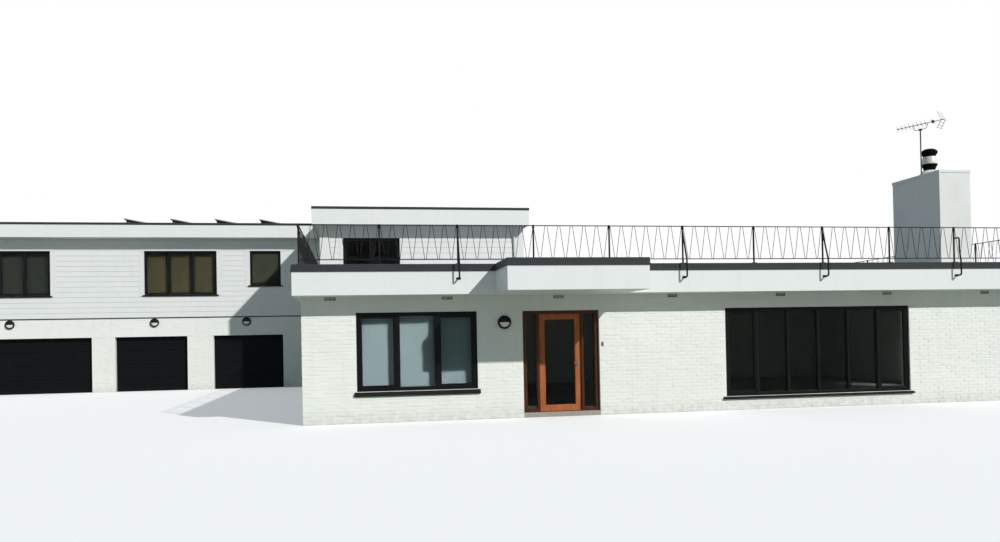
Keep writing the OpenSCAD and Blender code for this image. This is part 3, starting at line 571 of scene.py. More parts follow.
class Shell:
    """Closed forms, gathered as arrays in the house's plan and then made one mesh."""

    def __init__(self) -> None:
        """Starts empty."""
        self.points: list[Array] = []
        self.faces: list[list[int]] = []
        self.slots: list[int] = []
        self.count = 0

    def add(self, points: Array, faces: Array | list, slot: int = 0) -> None:
        """Adds points and the faces on them.

        Args:
            points: rows of x, y and z.
            faces: rows of indices into these points, or lists of them.
            slot: which of the piece's finishes the faces have.
        """
        rows = (faces + self.count).tolist() if isinstance(faces, np.ndarray) \
            else [[i + self.count for i in face] for face in faces]
        self.points.append(points)
        self.faces += rows
        self.slots += [slot] * len(rows)
        self.count += len(points)

    def many(self, corners: Array, quads: Array, slot: int = 0) -> None:
        """Adds n like forms, corners[n, k, 3], that share one list of faces."""
        n, k = corners.shape[:2]
        rows = (quads[None] + (np.arange(n) * k)[:, None, None]).reshape(-1, quads.shape[1])
        self.add(corners.reshape(-1, 3), rows, slot)

    def pads(self, face: Facing, rects: Array | list, depth: Array | tuple | float,
             inset: float = 0.0035, sink: float = 0.003, slot: int = 0) -> None:
        """Adds raised pads with sloped edges: frusta from -sink at the back to depth in front.

        Args:
            face: where they stand.
            rects: rows [u0, u1, v0, v1, ...].
            depth: how far they stand out: one number, or one at the foot and one at the head, for
                all of them or one pair a row.
            inset: how much smaller the front is on each side.
            sink: how far the back is behind the face.
            slot: their finish.
        """
        u0, u1, v0, v1 = np.asarray(rects, float)[:, :4].T
        foot, head = np.broadcast_to(depth, (len(u0), 2)).T
        back, i = np.full_like(u0, -sink), inset
        uvw = np.stack([np.stack(p, 1) for p in (
            (u0, v0, back), (u1, v0, back), (u1, v1, back), (u0, v1, back), (u0 + i, v0 + i, foot),
            (u1 - i, v0 + i, foot), (u1 - i, v1 - i, head), (u0 + i, v1 - i, head))], 1)
        self.many(face.place(uvw), BOX_QUADS, slot)

    def rings(self, face: Facing, outer: Array | Rect, inner: Array | Rect,
              depths: tuple[float, float, float], slot: int = 0) -> None:
        """Adds mitred rectangular rings, such as beads: flat behind and sloped in front.

        Args:
            face: where they stand.
            outer: rows [u0, u1, v0, v1] of the outer edges, or one such row.
            inner: the same for the inner edges.
            depths: how far out the back is, the front at the outer edge, and at the inner one.
            slot: their finish.
        """
        loops, (back, w_out, w_in) = [], depths
        for rects, w in ((outer, w_out), (inner, w_in), (outer, back), (inner, back)):
            u0, u1, v0, v1 = np.atleast_2d(rects).astype(float).T
            flat = np.full_like(u0, w)
            loops += [np.stack(p, 1) for p in ((u0, v0, flat), (u1, v0, flat), (u1, v1, flat),
                                               (u0, v1, flat))]
        self.many(face.place(np.stack(loops, 1)), RING_QUADS, slot)

    def sweep(self, path: Array | list, section: Array, ref: Triple, slot: int = 0) -> None:
        """Carries a closed section along a path, with flat ends.

        Each ring is p + x ref' + y (t x ref'), where t is the path's direction there and ref' is
        ref made square to it; at a corner the ring lies in the mitre.

        Args:
            path: points of the path.
            section: points (x, y) of the section, anticlockwise.
            ref: a direction square to the path, or nearly.
            slot: its finish.
        """
        path = np.asarray(path, float)
        step = np.diff(path, axis=0)
        unit = step / np.linalg.norm(step, axis=1, keepdims=True)
        t = np.concatenate([unit[:1], unit[:-1] + unit[1:], unit[-1:]])
        t /= np.linalg.norm(t, axis=1, keepdims=True)
        side = np.array(ref, float) - (t @ np.array(ref, float))[:, None] * t
        side /= np.linalg.norm(side, axis=1, keepdims=True)
        lead = np.concatenate([unit[:1], unit])
        mitre = 1 / np.clip(np.sum(lead * t, 1), 0.5, 1)[:, None]
        rings = path[:, None] + section[None, :, :1] * side[:, None] \
            + section[None, :, 1:] * (np.cross(t, side) * mitre)[:, None]
        n, k = len(path), len(section)
        ends = [list(range(k - 1, -1, -1)), list(range((n - 1) * k, n * k))]
        self.add(rings.reshape(-1, 3), tube_quads(n, k).tolist() + ends, slot)

    def lathe(self, profile: Array | list, foot: Triple | Array, axis: Triple, sides: int = 32,
              slot: int = 0) -> None:
        """Turns a profile about an axis: foot + z axis + r (cos a e1 + sin a e2).

        Args:
            profile: rows (r, z) from pole to pole, with r = 0 at both ends, which closes it.
            foot: the point at z = 0.
            axis: the axis's direction.
            sides: steps round the axis.
            slot: its finish.
        """
        profile = np.asarray(profile, float)
        z = np.array(axis, float) / np.linalg.norm(axis)
        e1 = np.cross(z, (0.0, 1.0, 0.0) if abs(z[1]) < 0.9 else (1.0, 0.0, 0.0))
        e1 /= np.linalg.norm(e1)
        turn = circle(1.0, sides)
        around = turn[:, :1] * e1 + turn[:, 1:] * np.cross(z, e1)
        inner = profile[1:-1]
        rings = np.array(foot) + inner[:, None, 1:] * z + inner[:, None, :1] * around[None]
        poles = np.array(foot) + profile[[0, -1], 1:] * z
        n, k = len(inner), sides
        ends = [[n * k, (m + 1) % k, m] for m in range(k)] \
            + [[n * k + 1, (n - 1) * k + m, (n - 1) * k + (m + 1) % k] for m in range(k)]
        self.add(np.concatenate([rings.reshape(-1, 3), poles]), tube_quads(n, k).tolist() + ends,
                 slot)

    def mesh(self, name: str) -> bpy.types.Mesh:
        """Makes the mesh of all that was added, in the frame's axes.

        Args:
            name: the mesh's name.

        Returns:
            The mesh.
        """
        mesh = bpy.data.meshes.new(name)
        mesh.from_pydata((np.concatenate(self.points) + ORIGIN).tolist(), [], self.faces)
        mesh.polygons.foreach_set("material_index", self.slots)
        return mesh

    def piece(self, name: str, *finishes: Finish, smooth: float = 0.0, body: str = BODY,
              replaces: tuple[str, ...] = ()) -> bpy.types.Object:
        """Makes the mesh a finished piece: see dress, whose arguments these are."""
        return dress(self.mesh(name), name, finishes, smooth, body=body, replaces=replaces)


def linked(name: str, data: bpy.types.ID) -> bpy.types.Object:
    """Makes an object of a mesh, a lamp or a camera, and links it to the scene.

    Args:
        name: its name.
        data: what it shows.

    Returns:
        The object.
    """
    thing = bpy.data.objects.new(name, data)
    bpy.context.scene.collection.objects.link(thing)
    return thing


def dress(mesh: bpy.types.Mesh, name: str, finishes: tuple[Finish, ...], smooth: float = 0.0,
          bevel: float = 0.0, body: str = BODY, replaces: tuple[str, ...] = ()) -> bpy.types.Object:
    """Makes a mesh a finished piece of the house.

    Args:
        mesh: the mesh, already in its place.
        name: the piece's name.
        finishes: its finishes, in the order of the slots.
        smooth: faces that meet at less than this many degrees are shaded as one surface.
        bevel: width to which its edges are rounded.
        body: the body that it rides on.
        replaces: CAD nodes that it stands for.

    Returns:
        The object.
    """
    for finish in finishes:
        mesh.materials.append(finish.material)
    if smooth:
        mesh.polygons.foreach_set("use_smooth", [True] * len(mesh.polygons))
        mesh.set_sharp_from_angle(angle=math.radians(smooth))
    mesh.update()
    piece = linked(name, mesh)
    if bevel:
        edges = piece.modifiers.new("rounded edges", "BEVEL")
        edges.width, edges.segments, edges.limit_method = bevel, 2, "ANGLE"
        edges.angle_limit = math.radians(40)
    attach(piece, body)
    if replaces:
        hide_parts(*replaces)
    LOG.info("%s: %d faces on %s", name, len(mesh.polygons), body)
    return piece


def rounded_copy(node: str, finish: Finish, width: float, body: str = BODY) -> bpy.types.Object:
    """Copies a CAD node, joins its loose triangles into flat faces and rounds its edges.

    Args:
        node: the CAD node that the copy stands for.
        finish: its finish.
        width: how wide its rounded edges are.
        body: the body that it rides on.

    Returns:
        The copy.
    """
    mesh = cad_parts[node].data.copy()
    mesh.materials.clear()
    shape = bmesh.new()
    shape.from_mesh(mesh)
    bmesh.ops.remove_doubles(shape, verts=shape.verts, dist=2e-5)
    bmesh.ops.dissolve_limit(shape, angle_limit=math.radians(1), verts=shape.verts,
                             edges=shape.edges)
    shape.to_mesh(mesh)
    shape.free()
    mesh.polygons.foreach_set("material_index", [0] * len(mesh.polygons))
    return dress(mesh, f"{node}_finished", (finish,), bevel=width, body=body, replaces=(node,))


def coat_nodes(finish: Finish, *nodes: str) -> None:
    """Gives CAD nodes that stay in sight their finish.

    Args:
        finish: the finish.
        *nodes: the nodes' names.
    """
    for target in (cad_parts[node] for node in nodes):
        if not target.material_slots:
            target.data.materials.append(finish.material)
        for slot in target.material_slots:
            slot.material = finish.material


# ---- windows and walls


@dataclass(frozen=True)
class Window:
    """A window or glazed door: a row of equal lights, of which some open and have sashes.

    Ends are its sides in the plan, and heights its foot and its head.
    """

    wall: Wall
    ends: tuple[float, float]
    heights: tuple[float, float]
    lights: int
    sashes: tuple[int, ...] = ()
    bar: float = 0.060
    reveal: float = 0.030
    depth: float = 0.090
    glass_step: float = 0.012
    bead: float = 0.016
    bead_out: tuple[float, float] = (0.018, 0.006)
    sash_bar: float = 0.042
    sash_inset: float = 0.012
    sash_edges: tuple[float, float] = (0.003, 0.004)
    sash_depths: Triple = (-0.002, 0.004, 0.004)
    sash_bead: float = 0.014
    sash_bead_out: tuple[float, float] = (0.016, 0.005)
    lap: float = 0.001

    @property
    def rect(self) -> Rect:
        """Its edges u0, u1, v0, v1 on the wall."""
        return (*self.wall.value.span(*self.ends), *self.heights)

    def light_rects(self) -> Array:
        """Places the lights in the frame.

        Returns:
            Rows [u0, u1, v0, v1] of the lights' edges.
        """
        u0, u1, v0, v1 = self.rect
        step = (u1 - u0 - self.bar) / self.lights
        left = u0 + self.bar + np.arange(self.lights) * step
        flat = np.ones(self.lights)
        return np.stack([left, left + step - self.bar, flat * (v0 + self.bar),
                         flat * (v1 - self.bar)], 1)

    def add_beads(self, shell: Shell) -> None:
        """Adds sloped glazing beads in every light, and raised sash faces where a light opens.

        Args:
            shell: the piece that they become part of.
        """
        rects, face, lap = self.light_rects(), self.wall.value, self.lap
        fixed = [i for i in range(self.lights) if i not in self.sashes]
        glass = self.glass_step - self.reveal - self.depth / 2
        if fixed:
            outer = rects[fixed]
            shell.rings(face, outer + lap * GROW, outer - self.bead * GROW,
                        (glass - lap, *(glass + out for out in self.bead_out)))
        if self.sashes:
            sash, front = rects[list(self.sashes)], -self.reveal - self.sash_inset
            edge, margin = self.sash_edges
            shell.rings(face, sash - edge * GROW, sash - (self.sash_bar - margin) * GROW,
                        tuple(front + out for out in self.sash_depths))
            inner = sash - self.sash_bar * GROW
            shell.rings(face, inner + lap * GROW, inner - self.sash_bead * GROW,
                        (glass - lap, *(glass + out for out in self.sash_bead_out)))


LOW, HIGH = (SILL_Z, HEAD_Z), (UPPER_SILL_Z, UPPER_HEAD_Z)
BLIND_WINDOWS = {"front": Window(Wall.FRONT, (1.06, 3.49), (0.628, HEAD_Z), 3, (0, 2)),
                 "wing_left": Window(Wall.GARAGE, (-11.73, -9.29), HIGH, 3),
                 "wing_right": Window(Wall.GARAGE, (-6.23, -3.79), HIGH, 3)}
SMALL_WINDOW = Window(Wall.GARAGE, (-2.646, -1.576), (3.70, UPPER_HEAD_Z), 1)
WINDOWS = {
    "front_window_beads": (BLIND_WINDOWS["front"],
                           Window(Wall.FRONT, (8.89, 13.29), (0.30, HEAD_Z), 6, (0, 5))),
    "wing_window_beads": (BLIND_WINDOWS["wing_left"], BLIND_WINDOWS["wing_right"], SMALL_WINDOW,
                          Window(Wall.ROOM_FRONT, (0.7, 2.5), (ROOF_Z, UPPER_HEAD_Z), 2, (0, 1))),
    "rear_window_beads": tuple(Window(*row) for row in (
        (Wall.BACK, (-10.8, -8.36), LOW, 3), (Wall.BACK, (-5.6, -3.16), LOW, 3),
        (Wall.BACK, (-10.8, -8.36), HIGH, 3), (Wall.BACK, (-4.6, -3.53), HIGH, 1),
        (Wall.BACK, (3.4, 5.84), HIGH, 3), (Wall.REAR, (9.1, 11.54), LOW, 3),
        (Wall.REAR, (12.2, 13.27), LOW, 1), (Wall.RIGHT, (1.6, 4.04), LOW, 3)))}


def holes_in(wall: Wall, upper: bool) -> list[Rect]:
    """Edges of a wall's windows in the upper storey, or in the lower one."""
    return [window.rect for group in WINDOWS.values() for window in group
            if window.wall is wall and (window.heights[0] > SOFFIT_Z) == upper]


@dataclass
class BrickWork:
    """Painted brick courses on one wall, in stretcher bond, round its windows and other cuts."""

    name: str
    wall: Wall
    cuts: tuple[Rect, ...] = ()
    start: float = 0.0
    top: float = SOFFIT_Z - 0.004
    brick: tuple[float, float] = (0.2195, 0.065)
    joint: float = 0.010
    perpend: float = 0.0025
    least: float = 0.02
    slip: tuple[float, float] = (0.001, 0.0015)
    proud: tuple[float, float] = (0.0030, 0.0068)
    tilt: float = 0.0026
    limits: tuple[float, float] = (0.002, 0.0085)
    arris: float = 0.003

    def courses(self) -> Array:
        """Lays out the courses, of which each second one is shifted by half a brick.

        Returns:
            Rows [u0, u1, v0, v1] of every brick.
        """
        (length, height), end = self.brick, self.wall.value.length
        pitch, rise = length + self.perpend, height + self.joint
        rows, columns = math.ceil(self.top / rise), math.ceil((end - self.start) / pitch) + 1
        i, j = np.meshgrid(np.arange(rows), np.arange(columns), indexing="ij")
        u0 = self.start + j * pitch - (i % 2) * pitch / 2
        v0 = i * rise + self.joint / 2
        rects = np.stack([u0, u0 + length, v0, v0 + height], -1).reshape(-1, 4)
        rects[:, :2] = np.clip(rects[:, :2], self.start, end)
        rects[:, 3] = np.minimum(rects[:, 3], self.top)
        for hole in (*holes_in(self.wall, upper=False), *self.cuts):
            rects = cut_out(rects, hole)
        sizes = rects[:, 1::2] - rects[:, 0::2]
        return rects[(sizes > self.least).all(1)]

    def build(self, draw: np.random.Generator) -> None:
        """Lays the bricks; each stands 3 to 7 mm out of its joints and leans a little in or out.

        Args:
            draw: the source of the small differences between bricks.
        """
        rects = self.courses()
        one_each = (len(rects), 1)
        for first, slip in zip((0, 2), self.slip):
            rects[:, first:first + 2] += draw.uniform(-slip, slip, one_each)
        foot = draw.uniform(*self.proud, one_each)
        head = np.clip(foot + draw.uniform(-self.tilt, self.tilt, one_each), *self.limits)
        shell = Shell()
        shell.pads(self.wall.value, rects, np.hstack([foot, head]), self.arris)
        shell.piece(self.name, Finish.BRICK)


@dataclass
class BoardWork:
    """Lapped weatherboards on one wall, with casings round its windows."""

    name: str
    wall: Wall
    bottom: float = BOARDS_Z
    top: float = UPPER_SOFFIT_Z
    start: float = 0.0
    end: float | None = None
    pitch: float = BOARD_PITCH
    thick: tuple[float, float] = (0.017, 0.008)
    lengths: tuple[float, float] = (3.4, 5.2)
    first: tuple[float, float] = (0.3, 3.0)
    butt: float = 0.001
    least: float = 0.02
    arris: float = 0.0006
    casing: float = 0.17
    casing_head: float = 0.14
    casing_foot: float = 0.053
    casing_out: float = 0.020
    casing_gap: float = 0.002

    def boards(self, draw: np.random.Generator) -> Array:
        """Cuts the boards to random lengths, row by row.

        Args:
            draw: the source of the boards' lengths.

        Returns:
            Rows [u0, u1, v0, v1, foot] of the boards, where foot is the lower edge of their row.
        """
        rows, end = [], self.end or self.wall.value.length
        for k in range(math.ceil((self.top - self.bottom) / self.pitch)):
            foot = self.bottom + k * self.pitch
            ends = [self.start - draw.uniform(*self.first)]
            while ends[-1] < end:
                ends.append(ends[-1] + draw.uniform(*self.lengths))
            rows += [(max(a + self.butt, self.start), min(b - self.butt, end), foot,
                      min(foot + self.pitch, self.top), foot) for a, b in zip(ends, ends[1:])]
        rects = np.array([row for row in rows if row[1] - row[0] > self.least])
        for u0, u1, v0, v1 in holes_in(self.wall, upper=True):
            rects = cut_out(rects, (u0 - self.casing, u1 + self.casing,
                                    v0 - self.casing_foot - self.casing_gap,
                                    v1 + self.casing_head))
        return rects

    def build(self, draw: np.random.Generator) -> None:
        """Fixes the boards: each is thick at its foot and thins towards the board that laps it.

        Args:
            draw: the source of the boards' lengths.
        """
        rects, shell, face = self.boards(draw), Shell(), self.wall.value
        share = (rects[:, 2:4] - rects[:, 4:5]) / self.pitch
        foot, head = self.thick
        shell.pads(face, rects, foot + (head - foot) * share, self.arris)
        for u0, u1, v0, v1 in holes_in(self.wall, upper=True):
            low = v0 - self.casing_foot
            shell.pads(face, [
                (u0 - self.casing, u0, low, v1), (u1, u1 + self.casing, low, v1),
                (u0 - self.casing, u1 + self.casing, v1 + self.butt, v1 + self.casing_head)],
                self.casing_out, self.casing_gap)
        shell.piece(self.name, Finish.BOARDS)


@dataclass
class Walls:
    """All brickwork and boarding, with lintels, corner strips and a flashing darkened as painted
    shade.
    """

    lintels: tuple = ((-13.2, -7.678), (-7.42, -4.6), (-4.107, -1.314))
    lintel_top: float = 2.214
    lintel_out: float = 0.008
    lintel_gap: float = 0.003
    room_boards_z: float = ROOF_Z + 0.01
    side_bricks_at: float = 0.3
    side_boards_at: float = 0.55
    side_flashing_at: float = 0.56
    pad_w: float = 0.28
    pad_x: float = 6.302
    pad_foot_x: float = 0.083
    pad_out: float = 0.031
    strip_w: float = 0.07
    strip_out: float = 0.027
    post: Triple = (0.048, 0.048, 0.003)
    post_out: float = 0.006
    flashing_z: float = 2.552
    flashing_out: tuple[float, float] = (0.012, 0.006)
    flashing_gap: float = 0.001
    gap: float = 0.002

    def surfaces(self) -> list[BrickWork | BoardWork]:
        """Lists the bricks and boards of every wall.

        Returns:
            One work a surface, in the order in which they draw their random differences.
        """
        garage = Wall.GARAGE.value
        cuts = tuple((*garage.span(*ends), low, high) for group, low, high in (
            (GARAGE_DOORS, 0.0, GARAGE_DOOR_H), (self.lintels, GARAGE_DOOR_H, self.lintel_top))
            for ends in group)
        split = BOARDS_Z + BOARD_PITCH * 3
        return [
            BrickWork("front_brickwork", Wall.FRONT, (DOOR,)),
            BrickWork("left_brickwork", Wall.LEFT),
            BrickWork("right_brickwork", Wall.RIGHT),
            BrickWork("rear_brickwork", Wall.REAR),
            BrickWork("rear_side_brickwork", Wall.REAR_SIDE, start=self.side_bricks_at),
            BrickWork("back_brickwork", Wall.BACK),
            BrickWork("wing_end_brickwork", Wall.WING_END),
            BrickWork("garage_brickwork", Wall.GARAGE, cuts),
            BoardWork("wing_boards", Wall.GARAGE),
            BoardWork("room_front_boards", Wall.ROOM_FRONT, self.room_boards_z, casing=0.1,
                      start=self.pad_w + self.gap, end=self.pad_x - self.gap),
            BoardWork("room_left_boards", Wall.LEFT, end=WING_Y - ROOM_Y),
            BoardWork("room_right_boards", Wall.REAR_SIDE, split),
            BoardWork("room_right_low_boards", Wall.REAR_SIDE, top=split,
                      start=self.side_boards_at),
            BoardWork("back_boards", Wall.BACK),
            BoardWork("wing_end_boards", Wall.WING_END)]

    def corners(self) -> None:
        """Makes the pads, strips and posts that end the boards at the corners."""
        top, low, gap = UPPER_SOFFIT_Z - self.gap, ROOF_Z + 2 * self.gap, self.gap
        strips, left_end = Shell(), WING_Y - ROOM_Y
        strips.pads(Wall.ROOM_FRONT.value, [
            (-self.strip_out, self.pad_w, TRIM_Z + gap, top),
            (self.pad_foot_x, self.pad_w, low, TRIM_Z),
            (self.pad_x, ROOM_RIGHT + self.strip_out, low, top)], self.pad_out, gap)
        for wall, u0 in ((Wall.LEFT, left_end - self.strip_w), (Wall.REAR_SIDE, 0.0)):
            strips.pads(wall.value, [(u0, u0 + self.strip_w, low, top)], self.strip_out, gap)
        for x, y in ((WING_LEFT - self.post_out, WING_Y - self.post_out),
                     (WING_LEFT - self.post_out, BACK_Y + self.post_out),
                     (ROOM_RIGHT + self.post_out, BACK_Y + self.post_out)):
            strips.sweep([(x, y, BOARDS_Z), (x, y, top)], bar_section(*self.post), ACROSS)
        strips.piece("corner_strips", Finish.BOARDS)

    def trims(self) -> None:
        """Makes the lintels' faces, and the flashing under the boards in a dark colour that paints
        the shadow gap there.
        """
        lintels, flashing, garage = Shell(), Shell(), Wall.GARAGE.value
        foot = GARAGE_DOOR_H + self.lintel_gap
        lintels.pads(garage, [(*garage.span(*ends), foot, self.lintel_top)
                              for ends in self.lintels], self.lintel_out, self.gap)
        lintels.piece("garage_lintels", Finish.BRICK)
        # Painted shade: these strips stand proud under the boards in a colour darker than the trim,
        # for the shadow that the boards' feet cast.
        for wall, start in ((Wall.GARAGE, 0.0), (Wall.BACK, 0.0), (Wall.WING_END, 0.0),
                            (Wall.REAR_SIDE, self.side_flashing_at)):
            strip = (start, wall.value.length, self.flashing_z, BOARDS_Z - self.flashing_gap)
            flashing.pads(wall.value, [strip], self.flashing_out, self.flashing_gap)
        flashing.piece("board_flashing", Finish.LIP)

    def build(self) -> None:
        """Builds the walls' surfaces, and finishes the CAD walls behind them."""
        draw = np.random.default_rng(SEED)
        for work in self.surfaces():
            work.build(draw)
        self.corners()
        self.trims()
        coat_nodes(Finish.BRICK, "front_wall_left", "front_wall_over_door", "front_wall_right",
                   "left_wall", "right_wall", "rear_wall", "rear_side_wall", "back_wall",
                   "wing_end_wall", "garage_front_wall")
        coat_nodes(Finish.BOARDS, "wing_upper_wall", "terrace_room_wall")
        coat_nodes(Finish.SLAB, "ground_floor")
        coat_nodes(Finish.UPPER_FLOOR, "first_floor")


# ---- roofs


@dataclass
class Roofs:
    """Flat roofs with felt, fascias, dark edge trims, soffits and solar panels.

    Areas are x0, x1, y0, y1 in the plan.
    """

    felt_width: float = 1.0
    felt_thick: tuple[float, float] = (0.005, 0.002)
    felt_least: float = 0.05
    felt_gap: float = 0.001
    chimney_gap: float = 0.004
    felt_areas: tuple = (
        (ROOF_Z, (0.082, 17.118, -0.278, ROOM_Y - 0.002)),
        (ROOF_Z, (ROOM_RIGHT + 0.03, 17.118, ROOM_Y, 10.318)),
        (ROOF_Z, (4.034, 6.333, -1.554, -0.512)),
        (UPPER_ROOF_Z, (WING_LEFT - 0.028, ROOM_RIGHT - 0.022, 13.652, 20.528)),
        (UPPER_ROOF_Z, (-0.088, ROOM_RIGHT - 0.022, 9.752, 13.65)))
    lining_length: float = 2.4
    lining_least: float = 0.3
    lining_thick: float = 0.005
    lining_gap: float = 0.002
    lining_areas: tuple = (
        (SOFFIT_Z, (-0.113, 17.313, -0.473, -0.002)), (SOFFIT_Z, (3.84, 6.528, -1.748, -0.477)),
        (SOFFIT_Z, (-0.113, -0.008, 0.0, 10.095)), (SOFFIT_Z, (17.208, 17.313, 0.0, 10.513)),
        (SOFFIT_Z, (6.56, 17.2, 10.408, 10.513)),
        (UPPER_SOFFIT_Z, (-13.953, -0.26, 13.527, 13.97)),
        (UPPER_SOFFIT_Z, (-13.953, -13.83, 13.97, 20.653)),
        (UPPER_SOFFIT_Z, (-0.213, 6.653, 9.627, 10.066)),
        (UPPER_SOFFIT_Z, (-0.213, -0.03, 10.07, 13.97)),
        (UPPER_SOFFIT_Z, (6.583, 6.653, 10.07, 20.5)),
        (UPPER_SOFFIT_Z, (-13.8, 6.58, 20.53, 20.653)))
    panel_x: tuple = (-7.036, -5.46, -3.922, -2.355)
    panel_y: float = WING_Y + 0.6
    panel_size: tuple[float, float] = (0.98, 1.65)
    panel_rise: tuple[float, float] = (0.385, 0.19)
    cells: tuple[int, int] = (6, 10)
    cell_gap: float = 0.001
    cell_thick: float = 0.0016
    cell_edge: float = 0.004
    cell_margin: float = 0.006
    rim: float = 0.028
    rim_lap: float = 0.002
    rim_depths: Triple = (-0.02, 0.004, 0.003)

    def felt(self) -> None:
        """Lays the felt: strips a metre wide, each lapped over the next, round the chimney."""
        shell, chimney = Shell(), tuple(np.array(STACK) + self.chimney_gap * GROW)
        for z, (u0, u1, v0, v1) in self.felt_areas:
            edges = np.append(np.arange(v0, v1 - self.felt_least, self.felt_width), v1)
            rects = np.array([(u0, u1, a, b - self.felt_gap) for a, b in zip(edges, edges[1:])])
            shell.pads(level(z), cut_out(rects, chimney), self.felt_thick, self.felt_gap)
        shell.piece("roof_felt", Finish.FELT)

    def soffits(self) -> None:
        """Lines the eaves from below with thin boards, jointed at equal steps."""
        shell = Shell()
        for z, (x0, x1, y0, y1) in self.lining_areas:
            last = max(x0 + self.lining_gap, x1 - self.lining_least)
            edges = np.append(np.arange(x0, last, self.lining_length), x1)
            shell.pads(level(z, DOWN), [(a, b - self.lining_gap, -y1, -y0)
                                        for a, b in zip(edges, edges[1:])],
                       self.lining_thick, self.lining_gap / 2)
        shell.piece("soffit_lining", Finish.FASCIA)

    def solar(self) -> None:
        """Sets cells and a rim on each tilted panel."""
        shell, (width, depth), gap = Shell(), self.panel_size, self.cell_gap
        drop = self.panel_rise[0] - self.panel_rise[1]
        slope, edge = math.hypot(width, drop), self.rim + self.cell_margin
        u = np.linspace(edge, slope - edge, self.cells[0] + 1)
        v = np.linspace(edge, depth - edge, self.cells[1] + 1)
        cells = [(a + gap, b - gap, c + gap, d - gap) for a, b in zip(u, u[1:])
                 for c, d in zip(v, v[1:])]
        outline = np.array((0, slope, 0, depth))
        for x in self.panel_x:
            face = Facing((x, self.panel_y, UPPER_ROOF_Z + self.panel_rise[0]), (width, 0, -drop),
                          (drop, 0, width))
            shell.pads(face, cells, self.cell_thick, self.cell_edge)
            shell.rings(face, outline + self.rim_lap * GROW, outline - self.rim * GROW,
                        self.rim_depths, 1)
        shell.piece("solar_cells_and_rims", Finish.CELLS, Finish.CELL_FRAME)

    def build(self) -> None:
        """Builds felt, soffits and panels, and finishes fascias, trims and downpipes."""
        self.felt()
        self.soffits()
        self.solar()
        coat_nodes(Finish.CELL_BACK, "solar_panels")
        coat_nodes(Finish.FELT, "front_roof", "upper_roof")
        for node, finish, width in (("front_fascia", Finish.FASCIA, 0.004),
                                    ("upper_fascia", Finish.FASCIA, 0.004),
                                    ("front_roof_trim", Finish.TRIM, 0.006),
                                    ("upper_roof_trim", Finish.TRIM, 0.005)):
            rounded_copy(node, finish, width)
        coat_nodes(Finish.PIPE, "downpipes")


# ---- window dressing


@dataclass
class Windows:
    """Beads, sashes, sills, glass, film and blinds of every window."""

    blind_back: float = 0.210
    blind_over: float = 0.015
    rail: Triple = (0.044, 0.044, 0.006)
    rail_drop: float = 0.022
    hem: Triple = (0.026, 0.012, 0.003)
    hem_rise: float = 0.048
    cloth_ends: tuple[float, float] = (0.047, 0.030)
    cloth_thick: float = 0.0012
    wave: tuple[float, float] = (0.0016, 0.0006)
    steps: tuple[int, int] = (12, 32)
    film_back: float = 0.0885
    film_thick: float = 0.0008

    def lights(self, window: Window) -> Array:
        """Rows (u0, u1) of what the blinds of a window cover."""
        return window.light_rects()[:, :2] + np.array([-1, 1]) * self.blind_over

    def rails(self) -> None:
        """Makes the rails and hem bars of the blinds."""
        shell = Shell()
        for window in BLIND_WINDOWS.values():
            low, high = window.heights
            for u0, u1 in self.lights(window):
                for v, section in ((high - self.rail_drop, self.rail),
                                   (low + self.hem_rise, self.hem)):
                    path = np.array([(u0, v, -self.blind_back), (u1, v, -self.blind_back)])
                    shell.sweep(window.wall.value.place(path), bar_section(*section), UP)
        shell.piece("blind_rails", Finish.PIPE, replaces=("window_blinds",))

    def cloth(self, name: str, window: Window, index: int, finish: Finish) -> None:
        """Hangs one blind's cloth, which waves slowly in and out more and more down its drop.

        With d the share of the drop from the rail and s the share of the width, it lies
        d (1.6 mm sin(9 d + index) + 0.6 mm sin(17 s + 5 index)) further back.

        Args:
            name: the cloth's name.
            window: the window that it hangs in.
            index: which light it covers.
            finish: its cloth.
        """
        u0, u1 = self.lights(window)[index]
        low, high = window.heights[0] + self.cloth_ends[0], window.heights[1] - self.cloth_ends[1]
        across, rise = self.steps
        s, t = np.meshgrid(np.linspace(0, 1, across + 1), np.linspace(0, 1, rise + 1))
        drop = 1 - t
        bend = self.wave[0] * np.sin(9 * drop + index) * drop \
            + self.wave[1] * np.sin(17 * s + 5 * index) * drop
        flat = np.stack([s * (u1 - u0), t * (high - low)], -1).reshape(-1, 2)
        uvw = np.column_stack([flat + (u0, low), -self.blind_back - bend.ravel()])
        i, j = np.meshgrid(np.arange(rise) * (across + 1), np.arange(across), indexing="ij")
        quads = np.stack([i + j, i + j + 1, i + j + across + 2, i + j + across + 1], -1)
        shell = Shell()
        shell.add(window.wall.value.place(uvw), quads.reshape(-1, 4))
        mesh = shell.mesh(name)
        loops = np.empty(len(mesh.loops), int)
        mesh.loops.foreach_get("vertex_index", loops)
        mesh.uv_layers.new(name="cloth").data.foreach_set("uv", flat[loops].ravel())
        piece = dress(mesh, name, (finish,), smooth=40.0)
        cloth = piece.modifiers.new("thickness", "SOLIDIFY")
        cloth.thickness, cloth.offset = self.cloth_thick, 0.0

    def build(self) -> None:
        """Builds the beads, film and blinds, and finishes frames, glass and sills."""
        for name, windows in WINDOWS.items():
            shell = Shell()
            for window in windows:
                window.add_beads(shell)
            shell.piece(name, Finish.FRAME)
        for node in ("left_window_frame", "wide_window_frame", "rear_window_frames",
                     "wing_window_frames"):
            rounded_copy(node, Finish.FRAME, 0.003)
        coat_nodes(Finish.GLASS, "front_window_glass", "wing_window_glass", "rear_window_glass")
        rounded_copy("front_sills", Finish.SILL, 0.004)
        film = Shell()
        film.pads(SMALL_WINDOW.wall.value.moved(-self.film_back), SMALL_WINDOW.light_rects(),
                  self.film_thick, 0.0, 0.0)
        film.piece("small_window_film", Finish.FILM)
        self.rails()
        for (name, window), finish in zip(BLIND_WINDOWS.items(), (
                Finish.GREY_CLOTH, Finish.DARK_CLOTH, Finish.BROWN_CLOTH)):
            for index in range(window.lights):
                self.cloth(f"{name}_blind_{index + 1}", window, index, finish)


# ---- entrance


